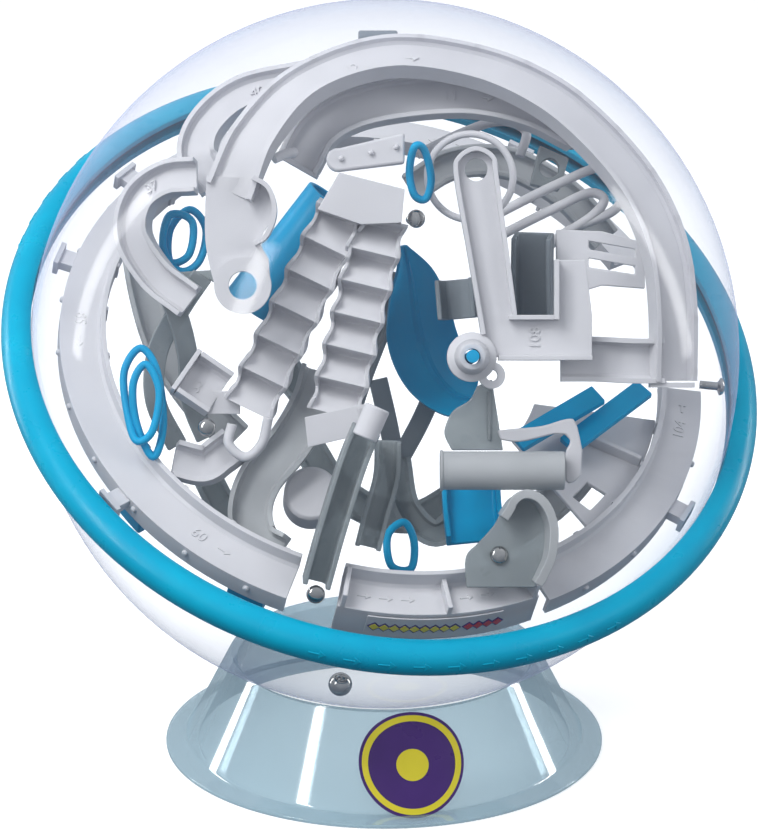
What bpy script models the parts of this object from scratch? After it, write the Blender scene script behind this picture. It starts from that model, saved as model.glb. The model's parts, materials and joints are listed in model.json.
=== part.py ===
"""Tilt maze game: a clear globe with a ball maze inside it, resting in a flared stand.

Lengths are written in millimetres and scaled to metres where a mesh is made.
Three frames are used, each held by an empty:
  stand   +Z up, origin on the table under the middle of the globe
  globe   origin at the globe's centre, +Z through its upper pole, the rim in its XY plane
  maze    origin at the globe's centre, +X right, +Y up and +Z towards the player
"""

import math

import bmesh
import bpy
from mathutils import Euler, Matrix, Vector

MM = 0.001
GAP = 0.3  # clearance left between neighbouring solids

# ---- globe and rim ----
GLOBE_R = 112.0
SHELL_WALL = 2.0
SHELL_INNER_R = GLOBE_R - SHELL_WALL
FLANGE_R = 116.2
FLANGE_WALL = 1.6
RIM_R = 115.6
RIM_TUBE_R = 5.6
RIM_BORE_R = GLOBE_R + GAP
CENTRE_HEIGHT = 131.5
GLOBE_TURN = math.radians(17.1)
GLOBE_TILT = math.radians(34.4)
MAZE_PITCH = math.radians(71.9)
ROUND_STEPS = 40
SHELL_ROWS = 8
RIM_PARTING = -1.45

# ---- stand ----
STAND_FOOT_R = 71.6
STAND_FOOT_LIP = 7.0
STAND_SEAT_R = 50.0
STAND_WALL = 2.2
BADGE_THICK = 0.8
BADGE_R = 16.5
BADGE_TURN = math.radians(8.5)

# ---- maze walls ----
WALL = 1.5
TRACK_IN_R = 90.5
TRACK_OUT_R = 103.0
START_IN_R = 90.0
START_OUT_R = 100.5
FOOT_EYE = (-42.2, 19.2)
HUB_AT = (26.0, -2.0)
DOME_RIVET_AT = (34.5, -61.3, 61)
AXLE_R = 1.9
BALL_SIDE = (-14, -105, 12)
TILT_AXIS = (0.995, -0.096, 0)
BALL_R = 3.75
BALL_CLEARANCE = 0.95  # over the flat facets of the lower shell
BALL_PATH_R = SHELL_INNER_R - BALL_R - BALL_CLEARANCE
PIN_HEAD_R = 2.8
PIN_SHANK_R = 1.3

FRAMES = {}

COLOURS = {
    "clear_shell": ((0.93, 0.95, 1.0, 0.15), 0.05, 0.0),
    "rim_blue": ((0.0, 0.50, 0.72, 1.0), 0.25, 0.0),
    "maze_white": ((0.80, 0.80, 0.82, 1.0), 0.4, 0.0),
    "maze_pale": ((0.66, 0.67, 0.70, 1.0), 0.4, 0.0),
    "maze_grey": ((0.42, 0.45, 0.48, 1.0), 0.42, 0.0),
    "maze_dark": ((0.24, 0.29, 0.33, 1.0), 0.42, 0.0),
    "maze_blue": ((0.0, 0.27, 0.50, 1.0), 0.35, 0.0),
    "steel": ((0.60, 0.60, 0.58, 1.0), 0.15, 1.0),
    "stand_clear": ((0.62, 0.74, 0.82, 0.45), 0.08, 0.0),
    "label": ((0.25, 0.10, 0.45, 1.0), 0.35, 0.0),
}


# ---------------------------------------------------------------- scene and frames
def clear_scene():
    for obj in list(bpy.data.objects):
        bpy.data.objects.remove(obj)


def make_materials():
    for slot, (colour, roughness, metallic) in COLOURS.items():
        material = bpy.data.materials.new(slot)
        material.use_nodes = True
        shader = material.node_tree.nodes["Principled BSDF"]
        shader.inputs["Base Color"].default_value = colour
        shader.inputs["Alpha"].default_value = colour[3]
        shader.inputs["Roughness"].default_value = roughness
        shader.inputs["Metallic"].default_value = metallic


def add_frame(name, location, rotation):
    empty = bpy.data.objects.new(name + "_frame", None)
    empty.location = Vector(location) * MM
    empty.rotation_euler = rotation
    bpy.context.scene.collection.objects.link(empty)
    FRAMES[name] = empty


def make_frames():
    centre = (0, 0, CENTRE_HEIGHT)
    add_frame("stand", (0, 0, 0), Euler((0, 0, 0)))
    add_frame("globe", centre, Euler((GLOBE_TILT, 0, GLOBE_TURN)))
    add_frame("maze", centre, Euler((MAZE_PITCH, 0, 0)))


# ---------------------------------------------------------------- shape helpers
def outward(bm):
    bmesh.ops.recalc_face_normals(bm, faces=bm.faces)
    return bm


def arc(centre, radius, start, end, steps):
    """Points on a circle from start to end degrees, both ends included."""
    turn = [math.radians(start + (end - start) * i / steps) for i in range(steps + 1)]
    return [(centre[0] + radius * math.cos(t), centre[1] + radius * math.sin(t)) for t in turn]


def curve_through(points, per_span, closed=False):
    """A Catmull-Rom curve through the points, as a list of vectors."""
    points = [Vector(p) for p in points]
    count = len(points)
    spans = count if closed else count - 1
    found = []
    for i in range(spans):
        if closed:
            a, b, c, d = (points[(i + k) % count] for k in (-1, 0, 1, 2))
        else:
            b, c = points[i], points[i + 1]
            a = points[i - 1] if i else b * 2 - c
            d = points[i + 2] if i + 2 < count else c * 2 - b
        for k in range(per_span):
            t = k / per_span
            found.append(
                (b * 2 + (c - a) * t + (a * 2 - b * 5 + c * 4 - d) * t**2 + (b * 3 - a - c * 3 + d) * t**3)
                / 2
            )
    if not closed:
        found.append(points[-1])
    return found


def sweep(section, points, up, per_span=4, closed=False):
    """A solid whose section, (side, up) points, follows a smooth route.

    up is one direction, or one for each of the route's points."""
    route = curve_through(points, per_span, closed)
    if isinstance(up, list):
        ups = curve_through(up, per_span, closed)
    else:
        ups = [Vector(up)] * len(route)
    bm = bmesh.new()
    rings = []
    last = len(route) - 1
    for i, here in enumerate(route):
        if closed:
            ahead, behind = route[(i + 1) % len(route)], route[i - 1]
        else:
            ahead, behind = route[min(i + 1, last)], route[max(i - 1, 0)]
        along = (ahead - behind).normalized()
        side = along.cross(ups[i]).normalized()
        lift = side.cross(along)
        rings.append([bm.verts.new(here + side * s + lift * h) for s, h in section])
    pairs = zip(rings, rings[1:] + rings[:1]) if closed else zip(rings, rings[1:])
    sides = len(section)
    for one, two in pairs:
        for k in range(sides):
            bm.faces.new((one[k], one[(k + 1) % sides], two[(k + 1) % sides], two[k]))
    if not closed:
        bm.faces.new(rings[0])
        bm.faces.new(rings[-1])
    return outward(bm)


def channel(width, left, right, floor=WALL, wall=WALL):
    """A U section, open upwards, with its floor's top at 0. A wall of height 0 is left out."""
    half = width / 2
    section = [(-half, -floor), (half, -floor)]
    if right:
        section[1:] = [(half + wall, -floor), (half + wall, right), (half, right)]
    section.append((half, 0))
    section.append((-half, 0))
    if left:
        section += [(-half, left), (-half - wall, left), (-half - wall, -floor)]
        section.pop(0)
    return section


def disc(radius, sides):
    return arc((0, 0), radius, 0, 360 - 360 / sides, sides - 1)


def wire(points, radius, closed=False, per_span=5, sides=8, up=(0.1, 0.2, 1)):
    return sweep(disc(radius, sides), points, up, per_span, closed)


def turned(profile, steps=ROUND_STEPS, start=0.0, end=360.0):
    """The (radius, height) profile turned about Z. A full turn may touch the axis."""
    bm = bmesh.new()
    full = end - start >= 360
    rings = []
    on_axis = {}
    for i in range(steps if full else steps + 1):
        turn = math.radians(start + (end - start) * i / steps)
        ring = []
        for k, (r, z) in enumerate(profile):
            if r == 0 and k in on_axis:
                ring.append(on_axis[k])
                continue
            ring.append(bm.verts.new((r * math.cos(turn), r * math.sin(turn), z)))
            if r == 0:
                on_axis[k] = ring[-1]
        rings.append(ring)
    sides = len(profile)
    pairs = zip(rings, rings[1:] + rings[:1]) if full else zip(rings, rings[1:])
    for one, two in pairs:
        for k in range(sides):
            m = (k + 1) % sides
            corners = list(dict.fromkeys((one[k], one[m], two[m], two[k])))
            if len(corners) > 2:
                bm.faces.new(corners)
    if not full:
        bm.faces.new(rings[0])
        bm.faces.new(rings[-1])
    return outward(bm)


def prism(outline, low, high, holes=()):
    """A flat plate from low to high in Z, with its outline and its holes in XY."""
    bm = bmesh.new()
    edges = []
    for loop in (outline, *holes):
        corners = [bm.verts.new((x, y, low)) for x, y in loop]
        edges += [bm.edges.new(pair) for pair in zip(corners, corners[1:] + corners[:1])]
    bmesh.ops.triangle_fill(bm, use_beauty=True, edges=edges)
    made = bmesh.ops.extrude_face_region(bm, geom=list(bm.faces))["geom"]
    raised = [v for v in made if isinstance(v, bmesh.types.BMVert)]
    bmesh.ops.translate(bm, vec=(0, 0, high - low), verts=raised)
    return outward(bm)


def curve_outline(points, per_span=2):
    return [(p.x, p.y) for p in curve_through([(x, y, 0) for x, y in points], per_span)]


def box(low, high):
    corners = [(low[0], low[1]), (high[0], low[1]), (high[0], high[1]), (low[0], high[1])]
    return prism(corners, low[2], high[2])


def placed(bm, origin, z_axis, x_axis):
    """Moves a shape so that its own Z and X run along these directions, from origin."""
    z = Vector(z_axis).normalized()
    y = z.cross(Vector(x_axis)).normalized()
    x = y.cross(z)
    turn = Matrix((x, y, z)).transposed().to_4x4()
    bm.transform(Matrix.Translation(Vector(origin)) @ turn)
    return bm


def rod(start, end, radius, bore=0.0, steps=16):
    """A round bar, or with a bore a tube, between two points."""
    start, end = Vector(start), Vector(end)
    length = (end - start).length
    shape = turned([(bore, 0), (radius, 0), (radius, length), (bore, length)], steps)
    return placed(shape, start, end - start, (0.3, 0.9, 0.2))


def mesh_of(bm, name):
    mesh = bpy.data.meshes.new(name)
    bm.to_mesh(mesh)
    bm.free()
    return mesh


def boolean(base, tools, operation):
    """base with each tool joined to it or cut from it. All are bmeshes in one frame."""
    target = bpy.data.objects.new("target", mesh_of(base, "target"))
    bpy.context.scene.collection.objects.link(target)
    helpers = []
    for tool in tools:
        helper = bpy.data.objects.new("helper", mesh_of(tool, "helper"))
        bpy.context.scene.collection.objects.link(helper)
        helpers.append(helper)
        modifier = target.modifiers.new("join", "BOOLEAN")
        modifier.operation = operation
        modifier.solver = "MANIFOLD"  # EXACT leaves open edges on these shallow overlaps
        modifier.object = helper
    graph = bpy.context.evaluated_depsgraph_get()
    result = bmesh.new()
    result.from_mesh(target.evaluated_get(graph).to_mesh())
    for obj in [target, *helpers]:
        bpy.data.objects.remove(obj)
    return result


def add_part(name, slot, frame, shapes, cuts=(), pivot=None):
    """One named solid: the shapes joined, less the cuts. pivot is its origin in its frame."""
    solid = shapes[0] if len(shapes) == 1 else boolean(shapes[0], shapes[1:], "UNION")
    if cuts:
        solid = boolean(solid, cuts, "DIFFERENCE")
    origin = Vector(pivot or (0, 0, 0))
    bmesh.ops.translate(solid, vec=-origin, verts=solid.verts)
    bmesh.ops.scale(solid, vec=(MM, MM, MM), verts=solid.verts)
    obj = bpy.data.objects.new(name, mesh_of(solid, name))
    obj.parent = FRAMES[frame]
    obj.location = origin * MM
    obj.data.materials.append(bpy.data.materials[slot])
    obj.data.shade_smooth()
    obj.data.set_sharp_from_angle(angle=math.radians(35))
    bpy.context.scene.collection.objects.link(obj)


# ---------------------------------------------------------------- stand
def make_stand():
    seat_z = CENTRE_HEIGHT - math.sqrt((GLOBE_R + GAP) ** 2 - STAND_SEAT_R**2)
    foot_in = STAND_FOOT_R - STAND_FOOT_LIP
    profile = [
        (STAND_FOOT_R, 0),
        (STAND_FOOT_R, 1.2),
        (foot_in, 2.6),
        (STAND_SEAT_R + 0.6, seat_z - 1.0),
        (STAND_SEAT_R, seat_z),
        (STAND_SEAT_R - STAND_WALL, seat_z - 2.0),
        (foot_in - STAND_WALL - 1.5, 1.2),
        (foot_in - STAND_WALL - 1.5, 0),
    ]
    add_part("stand", "stand_clear", "stand", [turned(profile)])
    run = Vector((STAND_SEAT_R + 0.6 - foot_in, seat_z - 3.6))
    along = Vector((0, -run.x, run.y)).normalized()
    out = Vector((0, -along.z, along.y))
    middle = Vector((0, -(foot_in + run.x * 0.46), 2.6 + run.y * 0.46)) + out * (GAP + 0.1)
    blank = placed(turned([(0, -4), (BADGE_R, -4), (BADGE_R, 8), (0, 8)], 28), middle, out, (1, 0, 0))
    inner = GAP + 0.2
    outer = inner + BADGE_THICK
    low, high = profile[2], profile[3]
    skin = [(low[0] + inner, low[1]), (low[0] + outer, low[1])]
    skin += [(high[0] + outer, high[1]), (high[0] + inner, high[1])]
    badge = boolean(turned(skin, 80), [blank], "INTERSECT")
    badge.transform(Matrix.Rotation(BADGE_TURN, 4, "Z"))
    add_part("stand_badge", "label", "stand", [badge])


# ---------------------------------------------------------------- globe
def shell_profile():
    """The upper shell's section, from its pole down to its flange."""
    outer = arc((0, 0), GLOBE_R, 90, 1, SHELL_ROWS)
    inner = arc((0, 0), SHELL_INNER_R, 1, 90, SHELL_ROWS)
    seam = GAP / 2
    top = seam + FLANGE_WALL
    return outer[:-1] + [(GLOBE_R, top), (FLANGE_R, top), (FLANGE_R, seam), (SHELL_INNER_R, seam)] + inner[1:]


def make_globe():
    half = [(max(r, 0), z) for r, z in shell_profile()]
    half[0] = (0, GLOBE_R)
    half[-1] = (0, SHELL_INNER_R)
    add_part("upper_shell", "clear_shell", "globe", [turned(half)])
    add_part("lower_shell", "clear_shell", "globe", [turned([(r, -z) for r, z in half])])

    groove = FLANGE_R + GAP
    recess = FLANGE_WALL + GAP / 2 + GAP
    bore_angle = math.degrees(math.acos((RIM_BORE_R - RIM_R) / RIM_TUBE_R))
    parting_angle = math.degrees(math.asin(RIM_PARTING / RIM_TUBE_R))
    crown = arc((RIM_R, 0), RIM_TUBE_R, bore_angle, parting_angle, 14)
    upper = crown + [(groove, RIM_PARTING), (groove, recess), (RIM_BORE_R, recess)]
    add_part("upper_rim", "rim_blue", "globe", [turned(upper)])
    below = RIM_PARTING - GAP
    below_angle = math.degrees(math.asin(below / RIM_TUBE_R))
    keel = arc((RIM_R, 0), RIM_TUBE_R, below_angle, -bore_angle, 9)
    lower = keel + [(RIM_BORE_R, -recess), (groove, -recess), (groove, below)]
    add_part("lower_rim", "rim_blue", "globe", [turned(lower)])


# ---------------------------------------------------------------- ring at the equator
def ring_section(inner_r, outer_r, wall_up, skirt):
    return [
        (inner_r - WALL, wall_up),
        (inner_r, wall_up),
        (inner_r, 0),
        (outer_r, 0),
        (outer_r, -skirt),
        (outer_r - WALL, -skirt),
        (outer_r - WALL, -WALL),
        (inner_r - WALL, -WALL),
    ]


def ring_box(radius, height, angle, across):
    """A block at an angle on the ring: radius and height are (from, to) pairs."""
    block = box((radius[0], -across / 2, height[0]), (radius[1], across / 2, height[1]))
    block.transform(Matrix.Rotation(math.radians(angle), 4, "Z"))
    return block


def ring_track(name, start, end, steps, tabs):
    shapes = [turned(ring_section(TRACK_IN_R, TRACK_OUT_R, 5.0, 7.0), steps, start, end)]
    for angle in tabs:
        shapes.append(ring_box((TRACK_OUT_R - 1, SHELL_INNER_R - 1.0), (-4.5, -1.0), angle, 6.0))
    add_part(name, "maze_white", "globe", shapes)


def make_ring():
    ring_track("left_ring_track", 104, 239, 26, (128, 151, 205))
    ring_track("right_ring_track", 288, 345, 11, (318,))
    ring_track("rear_ring_track", 18, 96, 14, (50,))

    section = ring_section(START_IN_R, START_OUT_R, 6.0, 13.0)
    shapes = [turned(section, 8, 247.5, 284)]
    for angle, height in ((248.4, 6.0), (267, 3.5), (283.1, 6.0)):
        shapes.append(ring_box((START_IN_R - 1, START_OUT_R), (-1.0, height), angle, WALL))
    add_part("start_tray", "maze_white", "globe", shapes)
    face = START_OUT_R + GAP
    label = turned([(face, -11.5), (face + 0.5, -11.5), (face + 0.5, -1), (face, -1)], 6, 253, 277)
    add_part("start_label", "label", "globe", [label])

    outline = arc((0, 0), TRACK_IN_R - WALL - GAP, 302, 336, 8) + arc((0, 0), 50, 330, 310, 4)
    window = arc((0, 0), 84, 306, 312, 2) + arc((0, 0), 77, 312, 306, 2)
    plate = prism(outline, -WALL, 0, [window])
    rib = ring_box((60, TRACK_IN_R - WALL - 1), (-0.5, 4.0), 323, WALL)
    add_part("right_plate", "maze_white", "globe", [plate, rib])

    for name, start in (("front_blue_block", 228), ("left_blue_block", 201)):
        block = turned([(89.5, -19), (99, -19), (99, -12), (89.5, -12)], 2, start, start + 7)
        add_part(name, "maze_blue", "globe", [block])


# ---------------------------------------------------------------- arched tracks
def make_outer_arch():
    route = [
        (-46, 47, 66), (-38, 64, 65), (-23, 79.5, 60.5), (1, 88.5, 52), (27, 86, 48), (48, 77.5, 47),
        (64, 64.5, 47), (77, 48.5, 47.5), (84.5, 31, 49), (87, 12, 49), (87, -9, 48),
    ]
    lean = [
        (-0.1, 0.1, 1), (-0.2, 0.4, 0.9), (-0.2, 0.6, 0.78), (0, 0.62, 0.78),
        (0.1, 0.6, 0.8), (0.2, 0.5, 0.84), (0.3, 0.4, 0.86), (0.35, 0.3, 0.88),
        (0.4, 0.15, 0.9), (0.42, 0.05, 0.9), (0.42, 0, 0.9),
    ]
    arch = sweep(channel(12, 2.5, 4), route, lean, 2)
    run = [(84, -3, 50.2), (74, -3, 51.5), (64, -2.5, 52.6), (53, -2.5, 53)]
    trough = sweep(channel(10.5, 3.5, 3.5), run, (0.12, 0, 1), 1)
    end_wall = box((80, -11, 46.5), (93.5, -9.5, 53))
    outline = [(-53, 52), (-53.5, 36), (-52.5, 27), (-50.5, 19)]
    outline += arc(FOOT_EYE, 8.5, 185, 350, 8) + [(-34.5, 27), (-37, 33), (-32.5, 41), (-35, 48), (-39, 51)]
    foot = prism(outline, 64.5, 66, [arc(FOOT_EYE, 4.2, 0, 330, 11)])
    edge = [(-39, 32, 64.6), (-35.5, 34.5, 64.6), (-33.3, 41, 64.6), (-35, 47.5, 64.6), (-39.5, 50.5, 64.6)]
    flange = sweep([(0, 0), (1.4, 0), (1.4, 8), (0, 8)], edge, (0, 0, 1), 2)
    collar = turned([(4.2, 0), (8.5, 0), (8.5, 3.2), (4.2, 3.2)], 14)
    placed(collar, (*FOOT_EYE, 64.5), (0, 0, 1), (1, 0, 0))
    doorway = box((76, -8.2, 51.8), (83.6, 2.2, 62))
    shapes = [arch, trough, end_wall, foot, flange, collar]
    add_part("outer_arch_track", "maze_white", "maze", shapes, [doorway])


def make_upper_tracks():
    route = [(-26, 57, 44), (-20, 67, 45), (-9, 73.5, 45), (8, 77, 43), (27, 78, 40), (45, 74.5, 36.5)]
    route.append((59, 68, 34))
    inner = sweep(channel(11, 3, 4.5), route, (0, 0.22, 0.97), 3)
    add_part("inner_arch_track", "maze_white", "maze", [inner])
    route = [(-24, 83, 35), (-43, 79, 32), (-54, 70, 33), (-57, 60, 35), (-51, 51, 37)]
    upper_left = sweep(channel(9, 3, 3), route, (-0.25, 0.45, 0.85), 3)
    add_part("upper_left_track", "maze_white", "maze", [upper_left])
    route = [(-57, 53, 46), (-66, 52, 44), (-74, 46, 43), (-76, 35, 42), (-69, 23, 42), (-59, 15, 44)]
    lobe = sweep(channel(8, 3.5, 3.5), route, (-0.35, 0.2, 0.9), 3)
    add_part("left_lobe_track", "maze_white", "maze", [lobe])
    slab = [(-17.5, 56), (-16.5, 58.8), (-13, 60.8), (6, 65.3), (6, 56.2), (-13, 53.9), (-16.5, 54.3)]
    add_part("cross_bar", "maze_white", "maze", [prism(slab, 53, 59)])
    add_part("top_knob", "maze_dark", "maze", [rod((-8, 95.5, 41.5), (4, 95.5, 41.5), 2.4, 0, 12)])
    hoop = [(26 + x, 53 + y, 46) for x, y in disc(13, 8)]
    add_part("catch_hoop", "maze_white", "maze", [wire(hoop, 1.1, True, 3, 6)])


# ---------------------------------------------------------------- stairs
def flight(top, bottom, steps, width, depth):
    """A stair from top to bottom: a saw-toothed block with a low fin beside each step."""
    top, bottom = Vector(top), Vector(bottom)
    run = bottom - top
    pitch = run.length / steps
    teeth, fins = [], []
    for i in range(steps):
        s = i * pitch
        teeth += [(s, 0), (s + 0.1 * pitch, -6.5), (s + 0.55 * pitch, -5.0)]
        fins += [(s, 0.2), (s + 0.25 * pitch, -4.5), (s + 0.5 * pitch, 0.8)]
    end = steps * pitch
    floor = [(end, -depth), (0, -depth)]
    body = prism(teeth + [(end, 0)] + floor, -width / 2, width / 2)
    shapes = [body]
    for side in (-1, 1):
        edge = side * width / 2
        low, high = sorted((edge, edge + side))
        shapes.append(prism(fins + [(end, 0.2)] + floor, low - 0.2, high + 0.2))
    for shape in shapes:
        shape.transform(Matrix.Rotation(math.radians(90), 4, "X"))
        placed(shape, top, run.cross(Vector((0, 0, 1))).cross(run), run)
    return shapes


def make_stairs():
    left = flight((-13, 41, 62), (-41.5, -17.5, 47.5), 6, 14.5, 9.5)
    right = flight((-1.2, 39, 62), (-15.2, -19, 56), 6, 15, 9.5)
    head = prism([(-13.5, 53), (6, 48), (5, 38), (-7, 37.5), (-20, 42)], 51, 64.5)
    landing = prism([(-24, -20), (-6, -16), (-6, -25), (-23, -29)], 46, 57)
    add_part("twin_stairs", "maze_white", "maze", [head, *left, *right, landing])


# ---------------------------------------------------------------- small pieces
def make_rivet(name, place, axis=(0, 0, 1)):
    head_end = [(0, 0), (PIN_HEAD_R * 0.75, -0.4), (PIN_HEAD_R, -1.6)]
    profile = head_end + [(PIN_SHANK_R, -2.4), (PIN_SHANK_R, -8), (0, -8)]
    pin = turned(profile, 12)
    add_part(name, "steel", "maze", [placed(pin, place, axis, (0, 1, 0.1))])


def make_left_pieces():
    tray = sweep(channel(12, 5, 5), [(-60, -7, 45), (-50.5, -13.5, 44)], (0.1, 0.3, 1), 1)
    add_part("stair_tray", "maze_white", "maze", [tray])
    loop = [(-46, -22, 52), (-47, -28, 52), (-42, -32, 52), (-37, -28, 53), (-35, -20, 54)]
    add_part("return_loop", "maze_white", "maze", [wire(loop, 1.5, False, 3)])

    rail = [(0, 0), (6.5, 0), (6.5, 1.6), (0, 1.6)]
    route = [(-53, 22, 37), (-60, 12, 34), (-67, 0, 28), (-68, -14, 25), (-62, -27, 20)]
    long_rail = sweep(rail, route, (0.3, 0, 1), 3)
    route = [(-66, 24, 36), (-61, 13, 34), (-58, 0, 28), (-57, -14, 22), (-53, -25, 18)]
    short_rail = sweep(rail, route, (0.3, 0, 1), 3)
    add_part("fork_rails", "maze_grey", "maze", [long_rail, short_rail])

    coil = [(-79, -6, 46), (-74, 1, 46), (-69, -6, 47), (-67, -22, 48), (-70, -32, 49), (-75, -22, 49),
            (-76, -10, 50), (-72, -4, 51), (-68, -12, 52), (-70, -24, 52), (-75, -27, 51), (-78, -18, 48)]
    add_part("left_wire_loops", "maze_blue", "maze", [wire(coil, 1.2, True, 2, 6)])
    coil = [(-66, 38, 30), (-60, 44, 30), (-55, 38, 31), (-57, 28, 32), (-63, 25, 32), (-68, 32, 33),
            (-66, 42, 34), (-59, 40, 35), (-60, 30, 34), (-66, 28, 31)]
    add_part("upper_wire_loops", "maze_blue", "maze", [wire(coil, 1.2, True, 2, 6)])
    add_part("rear_blue_tube", "maze_blue", "maze", [rod((-16.5, 48, 22), (-42.5, 15, 14), 8.4, 6.9, 16)])

    route = [(-18.9, -6, 33.8), (-22, -16, 36.3), (-29, -28, 38.5), (-38, -39, 38.5), (-41, -49, 39)]
    route += [(-38.5, -58, 42), (-32.5, -62, 46)]
    add_part("hook_trough", "maze_pale", "maze", [sweep(channel(10.5, 4, 4), route, (0, 0.1, 1), 2)])
    stop = turned([(0, 12.5), (7, 12.5), (7, 0), (8.5, 0), (8.5, 13), (7.5, 14), (0, 14)], 20)
    add_part("round_stop", "maze_white", "maze", [placed(stop, (-23, -46.5, 23), (0.05, 0.25, 1), (1, 0, 0))])
    route = [(-64, -33, 44), (-55, -35, 42), (-50, -32, 41), (-46, -29, 39)]
    low_left = sweep(channel(8.5, 3.5, 3.5), route, (-0.1, 0.3, 0.95), 2)
    add_part("low_left_track", "maze_white", "maze", [low_left])


def make_centre_pieces():
    route = [(-20.5, -69, 62), (-16, -53, 66), (-10, -34, 68), (-5.5, -23, 69)]
    add_part("smoke_arm", "maze_grey", "maze", [sweep(channel(5.5, 6, 6), route, (0.1, 0, 1), 2)])
    route = [(-5, -59, 55), (-2.5, -49, 56), (0.5, -38, 57), (1, -27, 58)]
    add_part("smoke_trough", "maze_grey", "maze", [sweep(channel(5, 4, 4), route, (0, 0, 1), 2)])
    add_part("arm_roller", "maze_white", "maze", [rod((-6, -26, 80.5), (-2, -17, 80.5), 3.8, 0, 14)])

    route = [(4, -33, 18), (7, -48, 18), (16, -56, 19), (25, -48, 18), (28, -36, 17)]
    add_part("centre_trough", "maze_grey", "maze", [sweep(channel(5.5, 4, 4), route, (0, 0, 1), 2)])
    section = [(-3, -1), (3, -1), (3, 1), (-3, 1)]
    right_leg = sweep(section, [(16, -11, 6), (11, -22, 8), (5, -33, 9)], (0, 0, 1), 2)
    left_leg = sweep(section, [(-2, -8, 6), (1, -21, 8), (3.5, -34, 9)], (0, 0, 1), 2)
    add_part("centre_legs", "maze_dark", "maze", [right_leg, left_leg])
    route = [(26.5, -39, 27), (27, -49, 30), (28, -58, 35)]
    add_part("blue_chute", "maze_blue", "maze", [sweep(channel(15, 5, 5), route, (0, 0.3, 1), 1)])
    loop = [(1, -56, 42), (6, -52, 42), (9, -58, 42), (8, -66, 44), (2, -65, 44)]
    add_part("low_wire_loop", "maze_blue", "maze", [wire(loop, 1.2, True, 3, 6)])
    loop = [(9, 61, 60), (7.5, 54, 55), (9, 47, 53), (12.5, 46, 52), (14, 52, 54), (12, 60, 58)]
    add_part("hanging_wire_loop", "maze_blue", "maze", [wire(loop, 1.2, True, 3, 6)])

    shaft = rod((*HUB_AT, 15), (*HUB_AT, 76), AXLE_R, 0, 12)
    route = [(6, 31, 26), (9.5, 19, 22), (14, 6, 18), (20, -5, 16), (29, -13, 18)]
    lean = [(0.6, 0.2, 0.8), (0.4, 0.3, 0.85), (0.2, 0.3, 0.95), (0, 0.3, 1), (-0.2, 0.4, 1)]
    blade = sweep(channel(19.5, 5, 5), route, lean, 3)
    add_part("turning_scoop", "maze_blue", "maze", [blade, shaft], (), (*HUB_AT, 0))


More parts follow.
